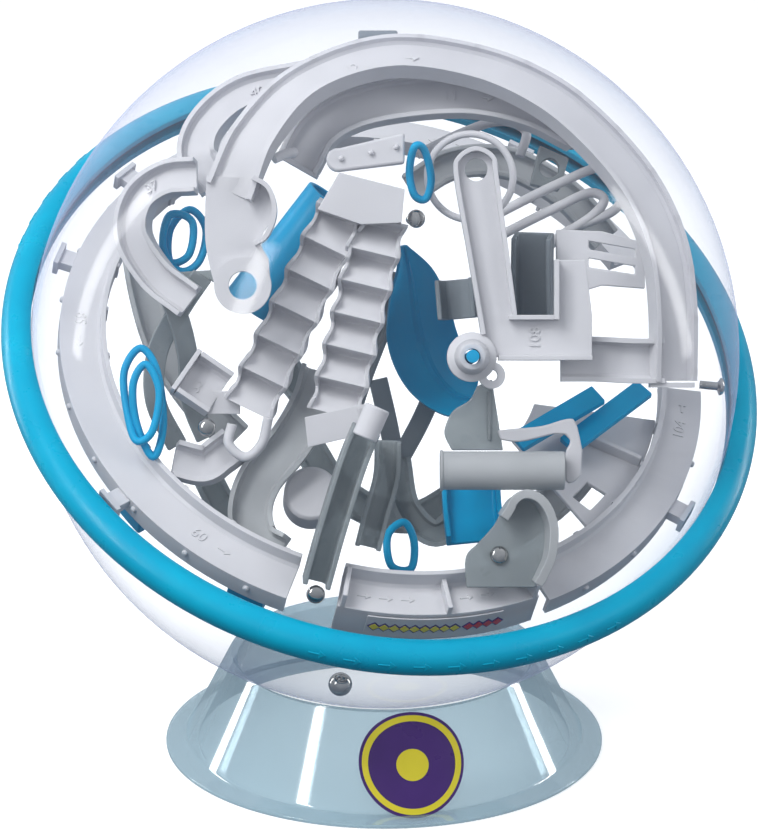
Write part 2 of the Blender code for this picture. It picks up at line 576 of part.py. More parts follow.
def make_right_pieces():
    head = (26.3, 56.5)
    outline = [(30, 3), (32, -2), (62, -2), (62, 10.5), (60, 27), (50.5, 27), (50.5, 10.5), (37.3, 10.5)]
    outline += arc(head, 6.4, -45, 200, 12)
    post = prism(outline, 60, 61.5, [arc(head, 3.4, 0, 330, 11)])
    edge = [(29.6, 5, 60), (25.2, 30, 60), (20.9, 54, 60), (21.6, 59.6, 60), (26.3, 62.7, 60)]
    edge += [(30.8, 60.2, 60), (31.4, 54, 60), (34.2, 32, 60), (37.6, 12, 60)]
    side_wall = sweep([(0, 0), (1.4, 0), (1.4, 5), (0, 5)], edge, (0, 0, 1), 2)
    foot_wall = box((37, 9.1, 60), (51, 10.5, 65))
    toe_wall = box((34, -3, 58), (62, -1.6, 64.5))
    end_wall = box((50.5, 9.1, 60), (52, 27, 66))
    bore = AXLE_R + 0.4
    hub = turned([(bore, 0), (8.6, 0), (8.6, 6), (5.6, 7), (5.6, 11), (3.8, 13), (bore, 13)], 24)
    placed(hub, (*HUB_AT, 58), (0, 0, 1), (1, 0, 0))
    ear = placed(turned([(1.7, 0), (4.2, 0), (4.2, 5), (1.7, 5)], 12), (32, -9, 59), (0, 0, 1), (1, 0, 0))
    axle_hole = rod((*HUB_AT, 50), (*HUB_AT, 90), bore, 0, 24)
    shapes = [post, side_wall, foot_wall, toe_wall, end_wall, hub, ear]
    add_part("keyhole_track", "maze_white", "maze", shapes, [axle_hole])

    add_part("ball_tube", "maze_pale", "maze", [rod((16.6, -36, 57), (54, -36, 57), 5.8, 4.5, 18)])
    edge = [(28, -10.6), (25.7, -14.8), (20.9, -17.9), (18.8, -21.7), (18.2, -25.4), (20.4, -30)]
    outline = curve_outline(edge) + [(35.9, -30), (32.5, -8.5)]
    add_part("hub_plate", "maze_grey", "maze", [prism(outline, 46.5, 48.5)])
    outer_edge = [(34, -24), (38.5, -23.5), (47.6, -22.6), (55, -20.5), (57.7, -21.7), (59.7, -30)]
    hook = [(59.2, -37.5), (57, -39.6), (54.6, -39), (54.6, -31), (56, -27.4), (54.6, -25.2)]
    inner_edge = [(51.3, -25), (41, -27.4), (35, -26.8)]
    outline = curve_outline(outer_edge) + curve_outline(hook) + curve_outline(inner_edge)
    add_part("tube_hanger", "maze_white", "maze", [prism(outline, 50, 52.5)])
    crest = [(34, -49, 59), (37.5, -44.2, 59), (42, -43, 59), (46.5, -45.8, 59), (49.3, -52.4, 59)]
    crest += [(49, -61, 60), (46.7, -67, 60), (45.3, -69.6, 60)]
    band = sweep([(0, -1), (1.5, -1), (1.5, 7.4), (0, 7.4)], crest, (0.25, 0.1, 1), 2)
    left_edge = [(24.5, -71), (24.3, -62), (28.2, -57.5), (33, -52), (36.5, -45.2), (42, -43.4)]
    right_edge = [(46.5, -46.2), (48.8, -53), (48.5, -62), (45, -71)]
    outline = curve_outline(left_edge) + curve_outline(right_edge)
    sheet = prism(outline, 57.6, 59, [arc(DOME_RIVET_AT[:2], 2.6, 0, 320, 9)])
    add_part("dome_scoop", "maze_pale", "maze", [band, sheet])

    bar = [(-3.5, -1.2), (3.5, -1.2), (3.5, 1.2), (-3.5, 1.2)]
    lower = sweep(bar, [(41, -28, 24), (67, -13, 14)], (0, 0.6, 0.8), 1)
    add_part("lower_blue_bar", "maze_blue", "maze", [lower])
    upper = sweep(bar, [(57, -29, 19), (82, -11, 6)], (0, 0.6, 0.8), 1)
    add_part("upper_blue_bar", "maze_blue", "maze", [upper])

    outer = [(38, 44, 36), (54, 52, 34), (67, 57, 32), (74, 53, 31), (71, 44, 32), (56, 37, 34), (48, 30, 36)]
    inner = [(40, 38, 36), (54, 45, 34), (63, 49, 32), (67.5, 47, 32), (64, 42, 33), (54, 35.5, 34.5)]
    rails = [wire(points, 1.5, False, 3, 6) for points in (outer, inner)]
    add_part("twin_wire_rails", "maze_white", "maze", rails)
    rail = [(10, 61, 28), (24, 68, 26), (36, 72, 22), (44, 69, 20), (42, 61, 22)]
    add_part("top_wire_rail", "maze_white", "maze", [wire(rail, 1.5, False, 3, 6)])

    outline = [(52, 37), (66, 36.5), (79, 33), (79, 19), (66, 20), (59.5, 18), (59, 7), (52, 7)]
    slots = [[(62, 33.5), (76, 31), (76, 28.6), (62, 31)], [(62, 28.3), (76, 25.8), (76, 23.4), (62, 25.6)]]
    ribs = prism(outline, 44.5, 46, slots)
    add_part("rib_bridge", "maze_white", "maze", [ribs])
    route = [(45.5, 36, 44), (45.5, 24, 41), (46, 9, 38)]
    add_part("dark_chute", "maze_dark", "maze", [sweep(channel(9, 9, 9), route, (-0.15, 0, 1), 2)])
    housing = sweep(channel(9, 8, 8), [(23, 22, 44), (24, 10, 44)], (-0.3, 0, 1), 1)
    add_part("dark_housing", "maze_dark", "maze", [housing])
    block = prism([(45, 52), (54, 50), (57, 60), (48, 64)], 20, 28, [arc((51, 57), 3, 0, 300, 5)])
    add_part("rail_block", "maze_grey", "maze", [block])



# ---------------------------------------------------------------- ball and pins
def make_ball_and_pins():
    profile = arc((0, 0), BALL_R, -90, 90, 10)
    profile[0] = (0, -BALL_R)
    profile[-1] = (0, BALL_R)
    place = Vector(BALL_SIDE).normalized() * BALL_PATH_R
    ball = placed(turned(profile, 16), place, (0, 0, 1), (1, 0, 0))
    add_part("steel_ball", "steel", "maze", [ball])

    make_rivet("stair_rivet", (-54, -23, 54), (-0.2, 0, 1))
    make_rivet("arm_rivet", (-20.5, -73, 68), (0, -0.2, 1))
    make_rivet("dome_rivet", DOME_RIVET_AT, (0.1, 0, 1))
    make_rivet("housing_rivet", (10, 40, 52), (0.3, 0, 1))
    make_rivet("block_rivet", (58, 66, 24), (0.2, 0.2, 1))
    make_rivet("tilt_pin", Vector(TILT_AXIS).normalized() * 108.5, TILT_AXIS)


def main():
    clear_scene()
    make_materials()
    make_frames()
    make_stand()
    make_globe()
    make_ring()
    make_outer_arch()
    make_upper_tracks()
    make_stairs()
    make_left_pieces()
    make_centre_pieces()
    make_right_pieces()
    make_ball_and_pins()


main()
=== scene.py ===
"""The tilt maze game's looks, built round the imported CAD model.

Shapes are written in millimetres, in the CAD's own three frames, and moved to the row frame in metres:
  stand   +Z up, origin on the table under the middle of the globe
  globe   origin at the globe's centre, +Z through its upper pole, the rim in its XY plane
  maze    origin at the globe's centre, +X right, +Y up and +Z towards the player
"""

import json
import math

import bmesh
import bpy
from mathutils import Euler, Matrix, Vector

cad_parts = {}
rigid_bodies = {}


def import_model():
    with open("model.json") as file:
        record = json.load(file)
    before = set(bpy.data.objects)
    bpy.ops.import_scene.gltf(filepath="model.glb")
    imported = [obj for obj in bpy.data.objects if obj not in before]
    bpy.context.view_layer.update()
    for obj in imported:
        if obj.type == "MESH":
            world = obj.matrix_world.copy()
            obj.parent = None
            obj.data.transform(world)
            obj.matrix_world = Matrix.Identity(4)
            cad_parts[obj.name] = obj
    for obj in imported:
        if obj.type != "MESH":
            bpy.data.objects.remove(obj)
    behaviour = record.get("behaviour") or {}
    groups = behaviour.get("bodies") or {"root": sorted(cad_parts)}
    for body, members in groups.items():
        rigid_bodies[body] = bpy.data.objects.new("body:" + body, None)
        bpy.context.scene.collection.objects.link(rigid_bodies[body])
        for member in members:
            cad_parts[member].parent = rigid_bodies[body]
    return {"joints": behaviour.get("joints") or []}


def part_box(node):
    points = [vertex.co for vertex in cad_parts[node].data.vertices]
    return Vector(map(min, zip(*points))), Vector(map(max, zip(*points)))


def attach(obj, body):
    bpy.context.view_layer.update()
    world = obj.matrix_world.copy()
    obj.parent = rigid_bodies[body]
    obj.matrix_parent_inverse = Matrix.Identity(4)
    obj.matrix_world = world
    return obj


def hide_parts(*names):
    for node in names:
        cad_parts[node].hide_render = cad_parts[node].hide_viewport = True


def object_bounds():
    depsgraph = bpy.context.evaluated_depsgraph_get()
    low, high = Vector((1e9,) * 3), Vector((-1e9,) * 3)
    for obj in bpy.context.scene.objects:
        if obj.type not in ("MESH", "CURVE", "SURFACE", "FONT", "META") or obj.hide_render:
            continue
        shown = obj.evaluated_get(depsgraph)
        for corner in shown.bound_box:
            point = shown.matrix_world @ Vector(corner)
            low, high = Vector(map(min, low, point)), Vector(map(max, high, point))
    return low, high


for left_over in list(bpy.data.objects):
    bpy.data.objects.remove(left_over)
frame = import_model()
CAD_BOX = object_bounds()
JOINTS = {joint["name"]: joint for joint in frame["joints"]}

MM = 0.001
CENTRE = Vector(JOINTS["globe_tilt"]["pos_m"])
GLOBE_TURN = math.radians(17.1)
GLOBE_TILT = math.radians(34.4)
MAZE_PITCH = math.radians(71.9)

# ---- globe, rim and stand, in mm ----
GLOBE_R = 112.0
SHELL_WALL = 2.0
SHELL_INNER_R = GLOBE_R - SHELL_WALL
FLANGE_R = 116.2
FLANGE_WALL = 1.6
RIM_R = 115.6
RIM_TUBE_R = 5.6
RIM_BORE_R = 112.3
RIM_PARTING = -1.45
STAND_FOOT_R = 71.6
STAND_LIP = 7.0
STAND_SEAT_R = 50.0
STAND_WALL = 2.2
BADGE_R = 16.5
BADGE_RINGS = 8
BADGE_LIFT = 0.5
BADGE_TURN = math.radians(8.5)
GAP = 0.3

# ---- maze ----
WALL = 1.5
TRACK_IN_R = 90.5
TRACK_OUT_R = 103.0
START_IN_R = 90.0
START_OUT_R = 100.5
MARK_Z = 0.05
FOOT_EYE = (-42.2, 19.2)
HUB_AT = (26.0, -2.0)
AXLE_R = 1.9
LEAF_WALL = 1.4

STEP_ROWS = 14
TREAD = [(0, 0.2), (0.07, -1.6), (0.15, -6.4), (0.28, -7.6)]
TREAD += [(0.42, -6.4), (0.62, -3.6), (0.85, -0.9), (1, 0.2)]
FIN = [(0, 0.6), (0.12, -1.0), (0.34, -4.4), (0.5, -2.6), (0.64, 0.9), (0.82, 0.9), (1, 0.6)]

# ---- floor and camera, in metres but for the aim, in mm from the globe's centre ----
FLOOR_R = 6.0
FLOOR_GAP = 0.0002
FLOOR_GLOW = 0.55
CAMERA_PITCH = math.radians(18.083)
CAMERA_DISTANCE = 1.0721
CAMERA_AIM = (-1.68, 0, -20.29)
CAMERA_LENS = 145.76

# ---- softboxes: name, place, width and height in metres, power, and whether shiny parts mirror it ----
LIGHTS = (
    ("key_light", (-0.6, -0.6, 1.3), 0.7, 0.7, 15, False),
    ("side_light", (1.15, -0.8, 0.8), 0.7, 0.7, 5, False),
    ("front_light", (-0.3, -1.7, 0.75), 0.9, 0.9, 3, False),
    ("left_strip", (-0.9, -0.8, 0.76), 0.14, 0.8, 4, True),
    ("left_back_strip", (-1.1, 0.4, 0.38), 0.12, 0.8, 3, True),
    ("right_back_strip", (1.1, 0.34, 0.4), 0.12, 0.8, 3, True),
)

FRAMES = {
    "stand": Matrix.Identity(4),
    "globe": Matrix.Translation(CENTRE) @ Euler((GLOBE_TILT, 0, GLOBE_TURN)).to_matrix().to_4x4(),
    "maze": Matrix.Translation(CENTRE) @ Euler((MAZE_PITCH, 0, 0)).to_matrix().to_4x4(),
}


# ================================================================ materials
class Nodes:
    """A material's node tree, with short calls for what the materials here share."""

    def __init__(self, name):
        self.material = bpy.data.materials.new(name)
        self.material.use_nodes = True
        self.tree = self.material.node_tree
        self.tree.nodes.clear()
        self.out = self.add("ShaderNodeOutputMaterial")
        self.place = self.add("ShaderNodeTexCoord").outputs["Object"]

    def add(self, kind, **values):
        node = self.tree.nodes.new(kind)
        for key, value in values.items():
            if hasattr(node, key):
                setattr(node, key, value)
            else:
                node.inputs[key.replace("_", " ")].default_value = value
        return node

    def link(self, source, target):
        self.tree.links.new(source, target)

    def noise(self, scale, detail=3.0):
        node = self.add("ShaderNodeTexNoise", Scale=scale, Detail=detail)
        self.link(self.place, node.inputs["Vector"])
        return node.outputs["Fac"]

    def spread(self, source, low, high, start=0.3, end=0.7):
        """source taken from the range start-end to low-high."""
        node = self.add("ShaderNodeMapRange")
        for key, value in (("From Min", start), ("From Max", end), ("To Min", low), ("To Max", high)):
            node.inputs[key].default_value = value
        self.link(source, node.inputs["Value"])
        return node.outputs["Result"]

    def tint(self, source, dark, light):
        """A colour between dark and light, as source goes from 0 to 1."""
        node = self.add("ShaderNodeMix", data_type="RGBA")
        for socket in node.inputs:
            if socket.name == "A" and socket.type == "RGBA":
                socket.default_value = (*dark, 1)
            if socket.name == "B" and socket.type == "RGBA":
                socket.default_value = (*light, 1)
        self.link(source, node.inputs["Factor"])
        return next(s for s in node.outputs if s.type == "RGBA")

    def bump(self, height, distance, strength=0.4):
        node = self.add("ShaderNodeBump", Strength=strength)
        node.inputs["Distance"].default_value = distance
        self.link(height, node.inputs["Height"])
        return node.outputs["Normal"]


def moulded(name, dark, light, roughness, sheen=0.0, see_through=0.0):
    """Moulded plastic: faint flow marks in its colour and gloss, and a fine grain."""
    n = Nodes(name)
    shader = n.add("ShaderNodeBsdfPrincipled")
    flow = n.noise(45.0, 4.0)
    n.link(n.tint(n.spread(flow, 0, 1), dark, light), shader.inputs["Base Color"])
    n.link(n.spread(n.noise(160.0), roughness - 0.05, roughness + 0.08), shader.inputs["Roughness"])
    n.link(n.bump(n.noise(2600.0, 2.0), 0.00006), shader.inputs["Normal"])
    shader.inputs["IOR"].default_value = 1.4
    shader.inputs["Coat Weight"].default_value = sheen
    shader.inputs["Coat Roughness"].default_value = 0.12
    shader.inputs["Subsurface Weight"].default_value = 0.12
    shader.inputs["Subsurface Radius"].default_value = (0.004, 0.004, 0.0045)
    shader.inputs["Subsurface Scale"].default_value = 0.6
    last = shader.outputs[0]
    if see_through:
        clear = n.add("ShaderNodeBsdfTransparent", Color=(*light, 1))
        mix = n.add("ShaderNodeMixShader")
        mix.inputs["Fac"].default_value = see_through
        n.link(last, mix.inputs[1])
        n.link(clear.outputs[0], mix.inputs[2])
        last = mix.outputs[0]
    n.link(last, n.out.inputs["Surface"])
    return n.material


def clear_plastic(name, tint, haze_colour, haze, mirror, edge, gloss_roughness):
    """Thin clear plastic. haze and mirror are (face-on, edge-on) shares, and edge how late they rise."""
    n = Nodes(name)
    clear = n.add("ShaderNodeBsdfTransparent", Color=(*tint, 1))
    gloss = n.add("ShaderNodeBsdfGlossy", Color=(1, 1, 1, 1), Roughness=gloss_roughness)
    milk = n.add("ShaderNodeBsdfDiffuse", Color=(*haze_colour, 1))
    facing = n.add("ShaderNodeLayerWeight", Blend=0.5).outputs["Facing"]
    rise = n.add("ShaderNodeMath", operation="POWER")
    rise.inputs[1].default_value = edge
    n.link(facing, rise.inputs[0])
    marks = n.add("ShaderNodeMath", operation="MULTIPLY")
    n.link(rise.outputs[0], marks.inputs[0])
    n.link(n.spread(n.noise(9.0, 2.0), 0.85, 1.1), marks.inputs[1])
    body = n.add("ShaderNodeMixShader")
    n.link(n.spread(marks.outputs[0], *haze, 0, 1), body.inputs["Fac"])
    n.link(clear.outputs[0], body.inputs[1])
    n.link(milk.outputs[0], body.inputs[2])
    skin = n.add("ShaderNodeMixShader")
    n.link(n.spread(rise.outputs[0], *mirror, 0, 1), skin.inputs["Fac"])
    n.link(body.outputs[0], skin.inputs[1])
    n.link(gloss.outputs[0], skin.inputs[2])
    n.link(skin.outputs[0], n.out.inputs["Surface"])
    return n.material


def polished_steel(name):
    n = Nodes(name)
    shader = n.add("ShaderNodeBsdfPrincipled", Metallic=1.0)
    shade = n.tint(n.spread(n.noise(300.0), 0, 1), (0.42, 0.42, 0.41), (0.62, 0.61, 0.59))
    n.link(shade, shader.inputs["Base Color"])
    n.link(n.spread(n.noise(900.0), 0.08, 0.2), shader.inputs["Roughness"])
    n.link(shader.outputs[0], n.out.inputs["Surface"])
    return n.material


MATERIALS = {
    "maze_white": moulded("white_plastic", (0.57, 0.57, 0.595), (0.63, 0.63, 0.655), 0.38, 0.1),
    "maze_pale": moulded("pale_plastic", (0.50, 0.52, 0.535), (0.58, 0.60, 0.615), 0.36, 0.15, 0.25),
    "maze_grey": moulded("smoky_plastic", (0.34, 0.38, 0.395), (0.43, 0.47, 0.485), 0.3, 0.2, 0.35),
    "maze_dark": moulded("dark_plastic", (0.22, 0.255, 0.28), (0.30, 0.34, 0.37), 0.32, 0.2, 0.25),
    "maze_blue": moulded("blue_plastic", (0.0, 0.29, 0.55), (0.0, 0.36, 0.64), 0.36, 0.0),
    "rim_blue": moulded("rim_plastic", (0.0, 0.325, 0.52), (0.0, 0.385, 0.58), 0.3, 0.05),
    "label": moulded("badge_print", (0.045, 0.012, 0.13), (0.06, 0.018, 0.17), 0.3, 0.3),
    "print_yellow": moulded("yellow_print", (0.72, 0.60, 0.02), (0.82, 0.70, 0.04), 0.35, 0.2),
    "print_red": moulded("red_print", (0.55, 0.02, 0.03), (0.66, 0.04, 0.04), 0.35, 0.2),
    "steel": polished_steel("polished_steel"),
    "clear_shell": clear_plastic(
        "clear_shell", (0.98, 0.985, 0.99), (0.66, 0.72, 1.0), (0.015, 0.5), (0.025, 0.16), 4.0, 0.1
    ),
    "stand_clear": clear_plastic(
        "stand_clear", (0.76, 0.86, 0.90), (0.42, 0.565, 0.635), (0.16, 0.66), (0.09, 0.3), 1.5, 0.07
    ),
}


# ================================================================ shape helpers
def arc(centre, radius, start, end, steps):
    """Points on a circle from start to end degrees, both ends included."""
    turn = [math.radians(start + (end - start) * i / steps) for i in range(steps + 1)]
    return [(centre[0] + radius * math.cos(t), centre[1] + radius * math.sin(t)) for t in turn]


def curve_through(points, per_span, closed=False):
    """A Catmull-Rom curve through the points, as a list of vectors."""
    points = [Vector(p) for p in points]
    count = len(points)
    found = []
    for i in range(count if closed else count - 1):
        if closed:
            a, b, c, d = (points[(i + k) % count] for k in (-1, 0, 1, 2))
        else:
            b, c = points[i], points[i + 1]
            a = points[i - 1] if i else b * 2 - c
            d = points[i + 2] if i + 2 < count else c * 2 - b
        for k in range(per_span):
            t = k / per_span
            square = (a * 2 - b * 5 + c * 4 - d) * t**2
            cube = (b * 3 - a - c * 3 + d) * t**3
            found.append((b * 2 + (c - a) * t + square + cube) / 2)
    if not closed:
        found.append(points[-1])
    return found


def curve_outline(points, per_span=4):
    return [(p.x, p.y) for p in curve_through([(x, y, 0) for x, y in points], per_span)]


def loft(rings, closed=False):
    """A skin over rings of points, each with as many points, capped unless closed."""
    bm = bmesh.new()
    loops = [[bm.verts.new(point) for point in ring] for ring in rings]
    pairs = zip(loops, loops[1:] + loops[:1]) if closed else zip(loops, loops[1:])
    for one, two in pairs:
        for k in range(len(one)):
            m = (k + 1) % len(one)
            bm.faces.new((one[k], one[m], two[m], two[k]))
    if not closed:
        bm.faces.new(loops[0])
        bm.faces.new(loops[-1])
    bmesh.ops.recalc_face_normals(bm, faces=bm.faces)
    return bm


def sweep(section, points, up, per_span=8, closed=False):
    """A solid whose section, (side, up) points, follows a smooth route.

    up is one direction, or one for each of the route's points."""
    route = curve_through(points, per_span, closed)
    ups = curve_through(up, per_span, closed) if isinstance(up, list) else [Vector(up)] * len(route)
    last = len(route) - 1
    rings = []
    for i, here in enumerate(route):
        if closed:
            ahead, behind = route[(i + 1) % len(route)], route[i - 1]
        else:
            ahead, behind = route[min(i + 1, last)], route[max(i - 1, 0)]
        along = (ahead - behind).normalized()
        side = along.cross(ups[i]).normalized()
        lift = side.cross(along)
        rings.append([here + side * s + lift * h for s, h in section])
    return loft(rings, closed)


def channel(width, left, right, floor=WALL, wall=WALL):
    """A U section, open upwards, with its floor's top at 0 and a wall on each side."""
    half = width / 2
    return [
        (-half - wall, -floor),
        (half + wall, -floor),
        (half + wall, right),
        (half, right),
        (half, 0.9),
        (half - 0.9, 0),
        (-half + 0.9, 0),
        (-half, 0.9),
        (-half, left),
        (-half - wall, left),
    ]


def bar_section(half_width, low, high):
    return [(-half_width, low), (half_width, low), (half_width, high), (-half_width, high)]


def disc(radius, sides):
    return arc((0, 0), radius, 0, 360 - 360 / sides, sides - 1)


def wire(points, radius, closed=False, per_span=8, sides=16, up=(0.1, 0.2, 1)):
    return sweep(disc(radius, sides), points, up, per_span, closed)


def turned(profile, steps=96, start=0.0, end=360.0):
    """The (radius, height) profile turned about Z. A full turn may touch the axis."""
    bm = bmesh.new()
    full = end - start >= 360
    rings = []
    on_axis = {}
    for i in range(steps if full else steps + 1):
        turn = math.radians(start + (end - start) * i / steps)
        ring = []
        for k, (r, z) in enumerate(profile):
            if r == 0 and k in on_axis:
                ring.append(on_axis[k])
                continue
            ring.append(bm.verts.new((r * math.cos(turn), r * math.sin(turn), z)))
            if r == 0:
                on_axis[k] = ring[-1]
        rings.append(ring)
    sides = len(profile)
    pairs = zip(rings, rings[1:] + rings[:1]) if full else zip(rings, rings[1:])
    for one, two in pairs:
        for k in range(sides):
            m = (k + 1) % sides
            corners = list(dict.fromkeys((one[k], one[m], two[m], two[k])))
            if len(corners) > 2:
                bm.faces.new(corners)
    if not full:
        bm.faces.new(rings[0])
        bm.faces.new(rings[-1])
    bmesh.ops.recalc_face_normals(bm, faces=bm.faces)
    return bm


def skin_of(profile, steps=128):
    """A thin surface, with no thickness, turned about Z. The profile is from the axis outwards."""
    bm = bmesh.new()
    rings = []
    for i in range(steps):
        turn = 2 * math.pi * i / steps
        rings.append([bm.verts.new((r * math.cos(turn), r * math.sin(turn), z)) for r, z in profile])
    for one, two in zip(rings, rings[1:] + rings[:1]):
        for k in range(len(profile) - 1):
            bm.faces.new((one[k], one[k + 1], two[k + 1], two[k]))
    bmesh.ops.remove_doubles(bm, verts=bm.verts, dist=0.001)
    bmesh.ops.recalc_face_normals(bm, faces=bm.faces)
    return bm


def prism(outline, low, high, holes=()):
    """A flat plate from low to high in Z, with its outline and its holes in XY."""
    bm = bmesh.new()
    edges = []
    for loop in (outline, *holes):
        corners = [bm.verts.new((x, y, low)) for x, y in loop]
        edges += [bm.edges.new(pair) for pair in zip(corners, corners[1:] + corners[:1])]
    bmesh.ops.triangle_fill(bm, use_beauty=True, edges=edges)
    made = bmesh.ops.extrude_face_region(bm, geom=list(bm.faces))["geom"]
    raised = [v for v in made if isinstance(v, bmesh.types.BMVert)]
    bmesh.ops.translate(bm, vec=(0, 0, high - low), verts=raised)
    bmesh.ops.recalc_face_normals(bm, faces=bm.faces)
    bmesh.ops.dissolve_limit(bm, angle_limit=0.01, verts=bm.verts, edges=bm.edges)
    return bm


def box(low, high):
    corners = [(low[0], low[1]), (high[0], low[1]), (high[0], high[1]), (low[0], high[1])]
    return prism(corners, low[2], high[2])


def placed(bm, origin, z_axis, x_axis):
    """Moves a shape so that its own Z and X run along these directions, from origin."""
    z = Vector(z_axis).normalized()
    y = z.cross(Vector(x_axis)).normalized()
    x = y.cross(z)
    turn = Matrix((x, y, z)).transposed().to_4x4()
    bm.transform(Matrix.Translation(Vector(origin)) @ turn)
    return bm


def rod(start, end, radius, bore=0.0, steps=40):
    """A round bar, or with a bore a tube, between two points."""
    start, end = Vector(start), Vector(end)
    length = (end - start).length
    shape = turned([(bore, 0), (radius, 0), (radius, length), (bore, length)], steps)
    return placed(shape, start, end - start, (0.3, 0.9, 0.2))


def numeral(text, size, origin, normal, right):
    """A raised number, size mm high, centred on origin and read along right."""
    curve = bpy.data.curves.new("numeral", "FONT")
    curve.body = text
    curve.size = size
    curve.extrude = 0.3
    curve.resolution_u = 3
    curve.align_x = "CENTER"
    curve.align_y = "CENTER"
    holder = bpy.data.objects.new("numeral", curve)
    bpy.context.scene.collection.objects.link(holder)
    mesh = holder.evaluated_get(bpy.context.evaluated_depsgraph_get()).to_mesh()
    bm = bmesh.new()
    bm.from_mesh(mesh)
    bpy.data.objects.remove(holder)
    return placed(bm, origin, normal, right)


def arrow(size, origin, normal, right):
    """A raised arrow, size mm long, pointing along right."""
    half = size / 2
    outline = [(-half, -0.3), (half * 0.2, -0.3), (half * 0.2, -half * 0.5), (half, 0)]
    outline += [(half * 0.2, half * 0.5), (half * 0.2, 0.3), (-half, 0.3)]
    return placed(prism(outline, -0.3, 0.3), origin, normal, right)


def mesh_of(bm, name):
    mesh = bpy.data.meshes.new(name)
    bm.to_mesh(mesh)
    bm.free()
    return mesh


def linked(name, mesh):
    obj = bpy.data.objects.new(name, mesh)
    bpy.context.scene.collection.objects.link(obj)
    return obj


def flattened(mesh):
    """The mesh with its large faces shaded flat and its rounded edges shaded smooth."""
    holder = linked("flattened", mesh)
    holder.modifiers.new("normals", "WEIGHTED_NORMAL").keep_sharp = True
    graph = bpy.context.evaluated_depsgraph_get()
    found = bpy.data.meshes.new_from_object(holder.evaluated_get(graph))
    bpy.data.objects.remove(holder)
    return found


def show(node, slot, where, shapes, rounding=0.4, body="globe", finish=None, name=None):
    """The visible piece for a CAD node: its shapes together, with their edges rounded by rounding mm.

    With a name it is a detail beside the node's own piece, and replaces nothing."""
    whole = bmesh.new()
    for shape in shapes:
        mesh = mesh_of(shape, "shape")
        whole.from_mesh(mesh)
        bpy.data.meshes.remove(mesh)
    draft = linked("draft", mesh_of(whole, "draft"))
    if rounding:
        modifier = draft.modifiers.new("round", "BEVEL")
        modifier.width = rounding
        modifier.segments = 3
        modifier.limit_method = "ANGLE"
        modifier.angle_limit = math.radians(40)
    graph = bpy.context.evaluated_depsgraph_get()
    mesh = bpy.data.meshes.new_from_object(draft.evaluated_get(graph))
    bpy.data.objects.remove(draft)
    mesh.transform(FRAMES[where] @ Matrix.Scale(MM, 4))
    mesh.shade_smooth()
    mesh.set_sharp_from_angle(angle=math.radians(48))
    mesh = flattened(mesh) if rounding else mesh
    mesh.materials.clear()
    mesh.materials.append(MATERIALS[finish or slot])
    piece = linked(name or node + "_look", mesh)
    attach(piece, body)
    if name is None:
        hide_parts(node)
    return piece


# ================================================================ stand
def make_stand():
    seat_z = CENTRE.z / MM - math.sqrt((GLOBE_R + GAP) ** 2 - STAND_SEAT_R**2)
    foot_in = STAND_FOOT_R - STAND_LIP
    outside = [(STAND_FOOT_R, 0), (STAND_FOOT_R, 1.2), (foot_in + 1.5, 1.9), (foot_in, 2.8)]
    outside += [(STAND_SEAT_R + 0.8, seat_z - 1.2), (STAND_SEAT_R, seat_z)]
    inner_foot = foot_in - STAND_WALL - 1.5
    inside = [(STAND_SEAT_R - STAND_WALL, seat_z - 2), (inner_foot, 1.2), (inner_foot, 0)]
    show("stand", "stand_clear", "stand", [turned(outside + inside, 128)], rounding=0.3, body="stand")

    low = Vector((0, -foot_in, 2.6))
    high = Vector((0, -(STAND_SEAT_R + 0.6), seat_z - 1.0))
    slope = (high - low).normalized()
    middle = low.lerp(high, 0.46)
    narrowing = (foot_in - STAND_SEAT_R - 0.6) / (seat_z - 3.6)

    def on_cone(bm):
        """Bends a flat shape, drawn in XY and centred on 0, onto the stand's cone."""
        for vert in bm.verts:
            radius = -middle.y - narrowing * vert.co.y * slope.z
            turn = vert.co.x / radius
            away = BADGE_LIFT + vert.co.z
            reach = radius + away * slope.z
            height = middle.z + vert.co.y * slope.z + away * slope.y
            vert.co = Vector((reach * math.sin(turn), -reach * math.cos(turn), height))
        bm.transform(Matrix.Rotation(BADGE_TURN, 4, "Z"))
        return bm

    def ring(outer, inner, low_z, high_z):
        shape = turned([(inner, low_z), (outer, low_z), (outer, high_z), (inner, high_z)], 72)
        bmesh.ops.subdivide_edges(shape, edges=[e for e in shape.edges if e.calc_length() > 4], cuts=3)
        return shape

    rings = [(k * BADGE_R / BADGE_RINGS, (k + 1) * BADGE_R / BADGE_RINGS) for k in range(BADGE_RINGS)]
    plate = [on_cone(ring(outer, max(inner, 0.01), 0, 0.7)) for inner, outer in rings]
    show("stand_badge", "label", "stand", plate, rounding=0, body="stand")
    yellow = [on_cone(ring(BADGE_R - 1.0, BADGE_R - 2.9, 0.6, 0.9)), on_cone(ring(5.0, 0.01, 0.6, 0.9))]
    show("stand_badge", "label", "stand", yellow, 0, "stand", "print_yellow", "badge_rings")


